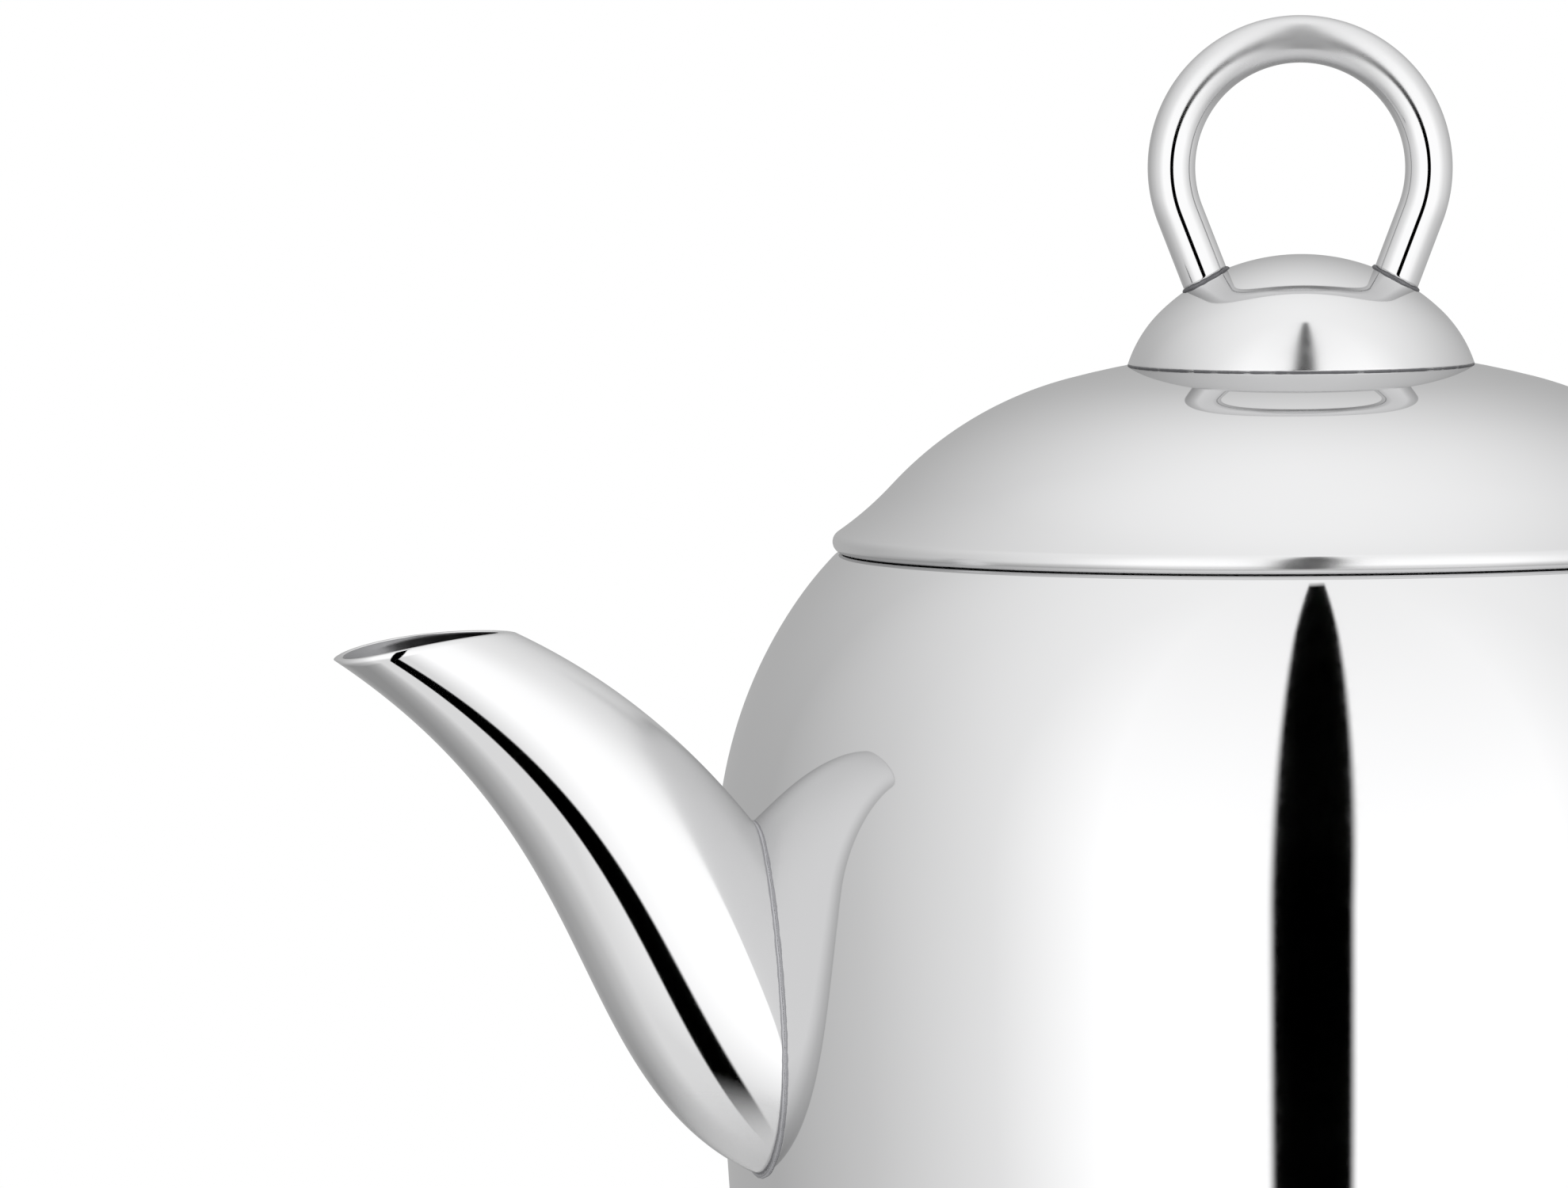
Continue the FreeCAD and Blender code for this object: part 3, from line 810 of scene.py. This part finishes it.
def flat(points: list[Point]) -> list[Vector]:
    """Lift points of the XZ plane into space.

    Args:
        points: pairs of X and Z.

    Returns:
        The points in space.
    """
    return [Vector((x, 0.0, z)) for x, z in points]


def leg_line() -> tuple[Vector, Vector]:
    """Start and direction of the loop's right leg.

    Returns:
        Where the straight leg starts, and its unit direction down.
    """
    lean = KNOB.loop_lean
    start = Vector((math.cos(lean), 0.0, -math.sin(lean))) * KNOB.loop_radius
    return start + Vector((0.0, 0.0, KNOB.loop_height)), Vector((-math.sin(lean), 0.0, -math.cos(lean)))


def dome_height(radius: float) -> float:
    """Height of the knob's dome at a distance from the axis.

    Args:
        radius: distance from the axis.

    Returns:
        The height of its outer face.
    """
    skin = KNOB_SKIN
    for (r0, z0), (r1, z1) in zip(skin, skin[1:]):
        if r1 <= radius <= r0:
            return z0 + (z1 - z0) * (r0 - radius) / max(r0 - r1, 1e-9)
    return skin[0][1]


KNOB_SKIN = knob_skin(0.0, lid_height(KNOB.radius))


def over_dome(point: Vector) -> float:
    """Height of a point over the knob's dome.

    Args:
        point: the point.

    Returns:
        The height, negative below its outer face.
    """
    return point.z - dome_height(math.hypot(point.x, point.y))


def meet(start: Vector, ahead: Vector, above: Callable[[Vector], float], far: float) -> Vector:
    """Point where a straight line meets a surface.

    Args:
        start: a point above the surface.
        ahead: unit direction of the line.
        above: height of a point over the surface, negative below it.
        far: a distance at which the line is below the surface.

    Returns:
        The meeting point.
    """
    near = 0.0
    for _ in range(40):
        middle = (near + far) / 2
        if above(start + ahead * middle) > 0:
            near = middle
        else:
            far = middle
    return start + ahead * near


@dataclass
class KnobRing(Piece):
    """The finger loop bent from rod."""

    def build(self) -> None:
        """Run the rod round the loop, its feet cut to the dome."""
        lean = KNOB.loop_lean
        bend = arc((0.0, KNOB.loop_height), KNOB.loop_radius, math.pi + lean, -lean)
        path = flat(bend)
        rows = tube_rows(path, KNOB.rod)
        start, down = leg_line()
        steps = 14
        for side in (1, -1):
            flip = Vector((side, 1.0, 1.0))
            ring = rows[-1] if side == 1 else rows[0]
            ends = [meet(p, down * flip, over_dome, LEG_REACH) for p in ring]
            leg = [[p.lerp(q, k / steps) for p, q in zip(ring, ends)] for k in range(1, steps + 1)]
            rows = rows + leg if side == 1 else list(reversed(leg)) + rows
        middles = [sum(row, Vector()) / len(row) for row in (rows[0], rows[-1])]
        turned = Matrix.Rotation(KNOB.loop_turn, 3, "Z")
        whole = [[turned @ point for point in row] for row in capped(middles, rows)]
        self.finish_mesh(grid_mesh(self.name, whole, close_rows=False))


@dataclass
class Handle(Piece):
    """The bent tube opposite the spout."""

    def build(self) -> None:
        """Run the tube from the shoulder round to the lower wall."""
        out = HANDLE.reach - HANDLE.bend
        high = (out, HANDLE.top - HANDLE.bend)
        low_height = HANDLE.foot + HANDLE.bend
        fall = high[1] - low_height
        low = (out - fall * math.tan(HANDLE.lean), low_height)
        bend_high = arc(high, HANDLE.bend, math.pi / 2, -HANDLE.lean)
        bend_low = arc(low, HANDLE.bend, -HANDLE.lean, -math.pi / 2)
        path = flat(link(bend_high, bend_low))
        rows = tube_rows(path, HANDLE.tube)
        steps = 16
        for first in (True, False):
            ring = rows[0] if first else rows[-1]
            ends = [meet(p, TO_BODY, off_body, HANDLE_REACH) for p in ring]
            run = [[p.lerp(q, k / steps) for p, q in zip(ring, ends)] for k in range(1, steps + 1)]
            rows = list(reversed(run)) + rows if first else rows + run
        middles = [sum(row, Vector()) / len(row) for row in (rows[0], rows[-1])]
        self.finish_mesh(grid_mesh(self.name, capped(middles, rows), close_rows=False))


def spread(station: float, values: tuple[float, ...]) -> float:
    """Value of a curve law at a station.

    Args:
        station: place along the spout.
        values: control values, three or four of them.

    Returns:
        The value there.
    """
    order = len(values) - 1
    shares = [math.comb(order, k) * (1 - station) ** (order - k) * station**k for k in range(order + 1)]
    return sum(share * value for share, value in zip(shares, values))


def spout_point(station: float, turn: float, inset: float) -> Vector:
    """Point on the spout's skin.

    Args:
        station: place along the centre line.
        turn: angle round the oval section, from the side.
        inset: distance inside the outer face.

    Returns:
        The point.
    """
    centre = Vector((-spread(station, SPOUT.reach), 0.0, spread(station, SPOUT.height)))
    reach_steps = tuple(b - a for a, b in zip(SPOUT.reach, SPOUT.reach[1:]))
    height_steps = tuple(b - a for a, b in zip(SPOUT.height, SPOUT.height[1:]))
    ahead = Vector((-spread(station, reach_steps), 0.0, spread(station, height_steps))).normalized()
    across = ahead.cross(SIDEWAYS)
    wide = spread(station, SPOUT.width) / 2 - inset
    thick = spread(station, SPOUT.thickness) / 2 - inset
    return centre + Vector((0.0, wide * math.cos(turn), 0.0)) + across * (thick * math.sin(turn))


def lip_height(reach: float) -> float:
    """Height of the bowed cut of the lip.

    Args:
        reach: distance from the axis.

    Returns:
        The height of the cut there.
    """
    tip, heel = Vector(SPOUT.beak), Vector(SPOUT.heel)
    chord = heel - tip
    radius = (chord.length**2 / 4 + SPOUT.lip_bow**2) / (2 * SPOUT.lip_bow)
    normal = Vector((chord.y, -chord.x)).normalized()
    centre = (tip + heel) / 2 - normal * (radius - SPOUT.lip_bow)
    return centre.y + math.sqrt(radius**2 - (reach - centre.x) ** 2)


def crossing(test: Callable[[float], float], start: float, end: float, steps: int = 120) -> float:
    """First station at which a test turns from positive to negative.

    Args:
        test: what is tested.
        start: first station.
        end: last station.
        steps: how finely to look.

    Returns:
        The station, or the end if there is none.
    """
    before = start
    for index in range(1, steps + 1):
        here = start + (end - start) * index / steps
        if test(here) <= 0 < test(before):
            low, high = before, here
            for _ in range(30):
                middle = (low + high) / 2
                low, high = (middle, high) if test(middle) > 0 else (low, middle)
            return low
        before = here
    return end


@dataclass
class Spout(Piece):
    """The hollow swept spout, open at its lip."""

    around: int = 160
    along: int = 90
    lip_round: float = 0.12

    def skin(self, inset: float) -> list[list[Vector]]:
        """Rings of one skin from the lip to the wall of the body.

        Args:
            inset: distance inside the outer face.

        Returns:
            The rings.
        """
        lines = []
        for index in range(self.around):
            turn = math.tau * index / self.around

            def over_lip(station: float) -> float:
                point = spout_point(station, turn, inset)
                return point.z - lip_height(-point.x)

            def outside(station: float) -> float:
                return off_body(spout_point(station, turn, inset))

            first = crossing(over_lip, SPOUT.first_station, 0.6)
            last = crossing(outside, max(first, ROOT_STATION), SPOUT.last_station)
            lines.append([first + (last - first) * k / self.along for k in range(self.along + 1)])
        return [
            [spout_point(lines[i][k], math.tau * i / self.around, inset) for i in range(self.around)]
            for k in range(self.along + 1)
        ]

    def build(self) -> None:
        """Join the outer and inner skins with a rounded lip."""
        outer = self.skin(0.0)
        inner = self.skin(SPOUT.wall)
        outer_count = len(outer)
        lip = []
        for share in (0.25, 0.5, 0.75):
            rise = Vector((0.0, 0.0, self.lip_round * math.sin(math.pi * share)))
            lip.append([p.lerp(q, share) + rise for p, q in zip(outer[0], inner[0])])
        rows = list(reversed(outer)) + lip + inner
        # the inner skin takes the bore finish, whose dark tint paints the shade inside the spout
        painted_shade_from = outer_count + len(lip)
        mesh = grid_mesh(self.name, rows, close_rows=True, tag=lambda row: 1 if row >= painted_shade_from else 0)
        self.finish_mesh(mesh, (BORE_PAINTED_SHADE,))


@dataclass
class WeldBead(Piece):
    """A weld run along a closed seam, made by one geometry node tree."""

    seam: list[Vector] = field(default_factory=list)
    radius: float = 0.5
    ripple: float = 0.12
    seed: int = 3

    def tree(self) -> bpy.types.GeometryNodeTree:
        """Make the tree that runs a rough bead along a curve.

        Returns:
            The tree, with named inputs.
        """
        made = bpy.data.node_groups.get("weld_bead")
        if made:
            return made
        made = bpy.data.node_groups.new("weld_bead", "GeometryNodeTree")
        sockets = made.interface
        sockets.new_socket("Geometry", in_out="INPUT", socket_type="NodeSocketGeometry")
        for name in ("Radius", "Ripple", "Seed", "Step"):
            sockets.new_socket(name, in_out="INPUT", socket_type="NodeSocketFloat")
        sockets.new_socket("Material", in_out="INPUT", socket_type="NodeSocketMaterial")
        sockets.new_socket("Geometry", in_out="OUTPUT", socket_type="NodeSocketGeometry")
        nodes = NodeTree(made)
        given = nodes.add("NodeGroupInput").outputs
        spaced = nodes.add(
            "GeometryNodeResampleCurve", {"Curve": given["Geometry"], "Length": given["Step"]}, mode="LENGTH"
        )
        profile = nodes.add("GeometryNodeCurvePrimitiveCircle", {"Resolution": 14, "Radius": given["Radius"]})
        swept = nodes.add(
            "GeometryNodeCurveToMesh",
            {"Curve": spaced.outputs["Curve"], "Profile Curve": profile.outputs["Curve"]},
        )
        noise = nodes.add(
            "ShaderNodeTexNoise", {"W": given["Seed"], "Scale": 1100.0, "Detail": 3.0}, noise_dimensions="4D"
        )
        centred = nodes.math("SUBTRACT", noise.outputs["Fac"], 0.5)
        amount = nodes.math("MULTIPLY", centred, given["Ripple"])
        facing = nodes.add("GeometryNodeInputNormal").outputs["Normal"]
        shift = nodes.add("ShaderNodeVectorMath", {0: facing, "Scale": amount}, operation="SCALE")
        rough = nodes.add(
            "GeometryNodeSetPosition", {"Geometry": swept.outputs["Mesh"], "Offset": shift.outputs["Vector"]}
        )
        smooth = nodes.add("GeometryNodeSetShadeSmooth", {"Geometry": rough.outputs["Geometry"]})
        whole = nodes.add("GeometryNodeRealizeInstances", {"Geometry": smooth.outputs["Geometry"]})
        painted = nodes.add(
            "GeometryNodeSetMaterial", {"Geometry": whole.outputs["Geometry"], "Material": given["Material"]}
        )
        nodes.add("NodeGroupOutput", {"Geometry": painted.outputs["Geometry"]})
        return made

    def build(self) -> None:
        """Run the bead along the seam and keep it as a plain mesh."""
        curve = bpy.data.curves.new(f"{self.name}_line", "CURVE")
        curve.dimensions = "3D"
        line = curve.splines.new("POLY")
        line.points.add(len(self.seam) - 1)
        for point, place in zip(line.points, self.seam):
            point.co = (*(place * MM), 1.0)
        line.use_cyclic_u = True
        holder = bpy.data.objects.new(f"{self.name}_line", curve)
        bpy.context.scene.collection.objects.link(holder)
        modifier = holder.modifiers.new("bead", "NODES")
        modifier.node_group = self.tree()
        values = {
            "Radius": self.radius * MM,
            "Ripple": self.ripple * MM * 2,
            "Seed": float(self.seed),
            "Step": 0.3 * MM,
            "Material": self.finish.material(),
        }
        for item in modifier.node_group.interface.items_tree:
            if item.in_out == "INPUT" and item.name in values:
                modifier[item.identifier] = values[item.name]
        bpy.context.view_layer.update()
        ready = holder.evaluated_get(bpy.context.evaluated_depsgraph_get())
        mesh = bpy.data.meshes.new_from_object(ready)
        holder.modifiers.clear()
        bpy.data.objects.remove(holder)
        self.finish_mesh(mesh)


def spout_seam() -> list[Vector]:
    """Line where the spout's outer skin meets the body.

    Returns:
        Points of the closed line.
    """
    count = 240
    seam = []
    for index in range(count):
        turn = math.tau * index / count

        def outside(station: float) -> float:
            return off_body(spout_point(station, turn, 0.0))

        seam.append(spout_point(crossing(outside, ROOT_STATION, SPOUT.last_station), turn, 0.0))
    return seam


def handle_seam(height: float) -> list[Vector]:
    """Line where one end of the handle meets the body.

    Args:
        height: height of that end's centre line.

    Returns:
        Points of the closed line.
    """
    turns = [math.tau * index / 96 for index in range(96)]
    seam = []
    for turn in turns:
        start = Vector((100.0, HANDLE.tube * math.cos(turn), height + HANDLE.tube * math.sin(turn)))
        seam.append(meet(start, TO_BODY, off_body, HANDLE_REACH))
    return seam


def loop_seam(side: int) -> list[Vector]:
    """Line where one foot of the loop meets the dome.

    Args:
        side: 1 for the foot at +X, -1 for the other.

    Returns:
        Points of the closed line.
    """
    start, down = leg_line()
    across = down.cross(SIDEWAYS)
    turned = Matrix.Rotation(KNOB.loop_turn, 3, "Z")
    seam = []
    for index in range(72):
        turn = math.tau * index / 72
        point = start + (across * math.cos(turn) + SIDEWAYS * math.sin(turn)) * KNOB.rod
        foot = meet(point, down, over_dome, LEG_REACH)
        seam.append(turned @ Vector((foot.x * side, foot.y, foot.z)))
    return seam


def dome_seam() -> list[Vector]:
    """Line where the edge of the dome stands on the lid.

    Returns:
        Points of the closed line.
    """
    radius = KNOB.radius - 0.18
    turns = [math.tau * index / 360 for index in range(360)]
    height = lid_height(radius) + 0.02
    return [Vector((radius * math.cos(a), radius * math.sin(a), height)) for a in turns]


@dataclass(frozen=True)
class CadDressing:
    """Finish of the solids that keep their own mesh."""

    names: tuple[str, ...] = ("base_plate", "lid_skirt", "knob_stud", "knob_washer", "knob_nut")
    finish: MetalFinish = SATIN

    def dress(self, nodes: dict[str, bpy.types.Object]) -> None:
        """Give each solid its finish.

        Args:
            nodes: the solids by name.
        """
        for name in self.names:
            mesh = nodes[name].data
            mesh.materials.clear()
            mesh.materials.append(self.finish.material())
            LOG.info("%s: %s", name, self.finish.name)


def grey(level: float) -> tuple[float, float, float, float]:
    """A grey of a given brightness.

    Args:
        level: its brightness.

    Returns:
        The colour.
    """
    return (level, level, level, 1.0)


@dataclass(frozen=True)
class Studio:
    """Floor, light and camera."""

    azimuth: float = math.radians(19.58)
    elevation: float = math.radians(3.2)
    roll: float = math.radians(-0.35)
    distance: float = 2.6
    frame_width: float = 0.16822
    aim_right: float = -0.0556
    aim_height: float = 0.10504
    sensor: float = 36.0
    floor_radius: float = 0.17
    floor_fade: tuple[float, float] = (0.07, 0.13)
    floor_tone: float = 0.9
    tent_radius: float = 20.0
    wall_tones: tuple[Point, ...] = ((0.23, 1.15), (0.36, 0.84), (0.54, 0.61), (0.74, 0.44))
    right_share: float = 0.82
    low_from: tuple[float, float] = (-0.22, -0.6)
    low_tones: tuple[float, float] = (1.0, 0.68)
    roof_tone: float = 0.965
    roof_rise: float = 1.9
    slot_shift: float = 0.0094
    slot_lean: float = 0.023
    slot_edge: tuple[float, float] = (math.radians(6.9), math.radians(9.1))
    slot_top: tuple[float, float] = (0.989, 0.9935)
    second_loss: float = 0.31

    def right(self) -> Vector:
        """Direction to the right of the picture.

        Returns:
            A unit vector.
        """
        return Vector((math.cos(self.azimuth), -math.sin(self.azimuth), 0.0))

    def towards(self) -> Vector:
        """Direction from the pot to the camera.

        Returns:
            A unit vector.
        """
        level = Vector((-math.sin(self.azimuth), -math.cos(self.azimuth), 0.0))
        return level * math.cos(self.elevation) + Vector((0.0, 0.0, math.sin(self.elevation)))

    def add_camera(self) -> None:
        """Place the camera at the photograph's viewing angle."""
        data = bpy.data.cameras.new("camera")
        data.sensor_width = self.sensor
        data.lens = self.sensor * self.distance / self.frame_width
        data.clip_end = 50.0
        camera = bpy.data.objects.new("camera", data)
        bpy.context.scene.collection.objects.link(camera)
        aim = self.right() * self.aim_right + Vector((0.0, 0.0, self.aim_height))
        turned = self.towards().to_track_quat("Z", "Y").to_matrix().to_4x4()
        rolled = Matrix.Rotation(self.roll, 4, "Z")
        camera.matrix_world = Matrix.Translation(aim + self.towards() * self.distance) @ turned @ rolled
        bpy.context.scene.camera = camera

    def add_floor(self) -> None:
        """Lay a pale floor that fades into the white room."""
        build = bmesh.new()
        bmesh.ops.create_circle(build, cap_ends=True, segments=128, radius=self.floor_radius)
        mesh = bpy.data.meshes.new("floor")
        build.to_mesh(mesh)
        build.free()
        floor = bpy.data.objects.new("floor", mesh)
        bpy.context.scene.collection.objects.link(floor)
        material = bpy.data.materials.new("pale_floor")
        material.use_nodes = True
        nodes = NodeTree(material.node_tree)
        place = nodes.add("ShaderNodeTexCoord").outputs["Object"]
        away = nodes.add("ShaderNodeVectorMath", {0: place}, operation="LENGTH").outputs["Value"]
        fade = nodes.span(away, self.floor_fade, smooth=True)
        pale = nodes.add("ShaderNodeBsdfDiffuse", {"Color": grey(self.floor_tone)})
        clear = nodes.add("ShaderNodeBsdfTransparent")
        mix = nodes.add(
            "ShaderNodeMixShader",
            {"Fac": fade, 1: pale.outputs["BSDF"], 2: clear.outputs["BSDF"]},
        )
        nodes.add("ShaderNodeOutputMaterial", {"Surface": mix.outputs["Shader"]})
        mesh.materials.append(material)

    def add_world(self) -> None:
        """Make the background white, to the camera and in the metal alike."""
        world = bpy.data.worlds.new("white_room")
        bpy.context.scene.world = world
        world.use_nodes = True
        nodes = NodeTree(world.node_tree)
        rays = nodes.add("ShaderNodeLightPath")
        glossy = nodes.math("MAXIMUM", rays.outputs["Is Glossy Ray"], rays.outputs["Is Transmission Ray"])
        shown = nodes.math("MAXIMUM", rays.outputs["Is Camera Ray"], glossy)
        tone = nodes.blend(shown, grey(0.8), grey(1.0))
        shade = nodes.add("ShaderNodeBackground", {"Color": tone, "Strength": 1.0})
        nodes.add("ShaderNodeOutputWorld", {"Surface": shade.outputs["Background"]})

    def tent_cloth(self) -> bpy.types.Material:
        """Make the glowing cloth of the tent: pale walls and roof, and a dark slot on the camera's side.

        From the second reflection on, the slot is closed and the cloth is darker.

        Returns:
            The material.
        """
        material = bpy.data.materials.new("tent_cloth")
        material.use_nodes = True
        nodes = NodeTree(material.node_tree)
        place = nodes.add("ShaderNodeTexCoord").outputs["Object"]
        way = nodes.add("ShaderNodeVectorMath", {0: place}, operation="NORMALIZE").outputs["Vector"]
        level = self.towards()
        level.z = 0.0
        front = nodes.dot(way, level.normalized())
        side = nodes.dot(way, self.right())
        up = nodes.add("ShaderNodeSeparateXYZ", {"Vector": way}).outputs["Z"]
        bearing = nodes.math("ARCTAN2", side, front)
        leftward = nodes.math("MULTIPLY", bearing, -1.0 / math.pi)
        rightward = nodes.math("MULTIPLY", bearing, self.right_share / math.pi)
        wall = nodes.ramp(nodes.math("MAXIMUM", leftward, rightward), self.wall_tones)
        sunk = nodes.span(up, self.low_from, self.low_tones)
        low_wall = nodes.add("ShaderNodeVectorMath", {0: wall, "Scale": sunk}, operation="SCALE")
        raised = nodes.math("POWER", nodes.math("MAXIMUM", up, 0.0), self.roof_rise)
        roof = nodes.blend(raised, low_wall.outputs["Vector"], grey(self.roof_tone))
        middle = nodes.math("MULTIPLY_ADD", up, self.slot_lean, self.slot_shift)
        shifted = nodes.math("SUBTRACT", side, middle)
        off_slot = nodes.math("ABSOLUTE", nodes.math("ARCTAN2", shifted, front))
        beside = nodes.span(off_slot, self.slot_edge, smooth=True)
        above = nodes.span(up, self.slot_top)
        bounce = nodes.add("ShaderNodeLightPath").outputs["Glossy Depth"]
        again = nodes.math("GREATER_THAN", bounce, 1.5)
        lit = nodes.math("MAXIMUM", beside, nodes.math("MAXIMUM", above, again))
        cloth = nodes.blend(lit, grey(0.0), roof)
        share = nodes.math("SUBTRACT", 1.0, nodes.math("MULTIPLY", again, self.second_loss))
        glow = nodes.add("ShaderNodeEmission", {"Color": cloth, "Strength": share})
        nodes.add("ShaderNodeOutputMaterial", {"Surface": glow.outputs["Emission"]})
        material.cycles.emission_sampling = "NONE"
        return material

    def add_tent(self) -> None:
        """Stand a light tent round the pot, which the camera itself doesn't see."""
        build = bmesh.new()
        bmesh.ops.create_icosphere(build, subdivisions=5, radius=self.tent_radius)
        mesh = bpy.data.meshes.new("light_tent")
        build.to_mesh(mesh)
        build.free()
        mesh.materials.append(self.tent_cloth())
        tent = bpy.data.objects.new("light_tent", mesh)
        bpy.context.scene.collection.objects.link(tent)
        tent.visible_camera = False

    def build(self) -> None:
        """Set up the whole studio."""
        self.add_camera()
        self.add_floor()
        self.add_world()
        self.add_tent()
        bpy.context.scene.view_settings.view_transform = "Standard"


def main() -> None:
    """Build the pieces in order and dress the solids."""
    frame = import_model()
    pot, lid = Rider.POT, Rider.LID
    foot = {"radius": 0.25, "ripple": 0.3}
    pieces = [
        BodyShell("body", pot, Slot.POLISHED, MIRROR, ("body_shell",)),
        Spout("pouring_spout", pot, Slot.POLISHED, SWEPT, ("spout",)),
        WeldBead("spout_bead", pot, Slot.WELD, BEAD, ("spout_weld",), seam=spout_seam(), radius=0.33),
        Handle("loop_handle", pot, Slot.POLISHED, MIRROR, ("handle",)),
        WeldBead("handle_bead_top", pot, Slot.WELD, BEAD, ("handle_welds",), seam=handle_seam(HANDLE.top)),
        WeldBead("handle_bead_foot", pot, Slot.WELD, BEAD, seam=handle_seam(HANDLE.foot), seed=5),
        LidShell("lid", lid, Slot.POLISHED, ROLLED, ("lid_shell",)),
        KnobDome("dome", lid, Slot.POLISHED, CUPPED, ("knob_dome",)),
        # the dark tint of this bead paints the shade in the crease where the dome meets the lid
        WeldBead("dome_bead", lid, Slot.WELD, SOLDER_PAINTED_SHADE, seam=dome_seam(), radius=0.2, ripple=0.03, seed=7),
        KnobRing("finger_loop", lid, Slot.POLISHED, LOOP, ("knob_ring",)),
        # the dark tint of the feet's beads paints their contact shadow on the dome
        WeldBead("loop_bead_right", lid, Slot.WELD, SOLDER_PAINTED_SHADE, ("knob_ring_welds",), seam=loop_seam(1), **foot),
        WeldBead("loop_bead_left", lid, Slot.WELD, SOLDER_PAINTED_SHADE, seam=loop_seam(-1), seed=9, **foot),
    ]
    for piece in pieces:
        piece.build()
    CadDressing().dress(frame["nodes"])
    Studio().build()


if __name__ == "__main__":
    main()
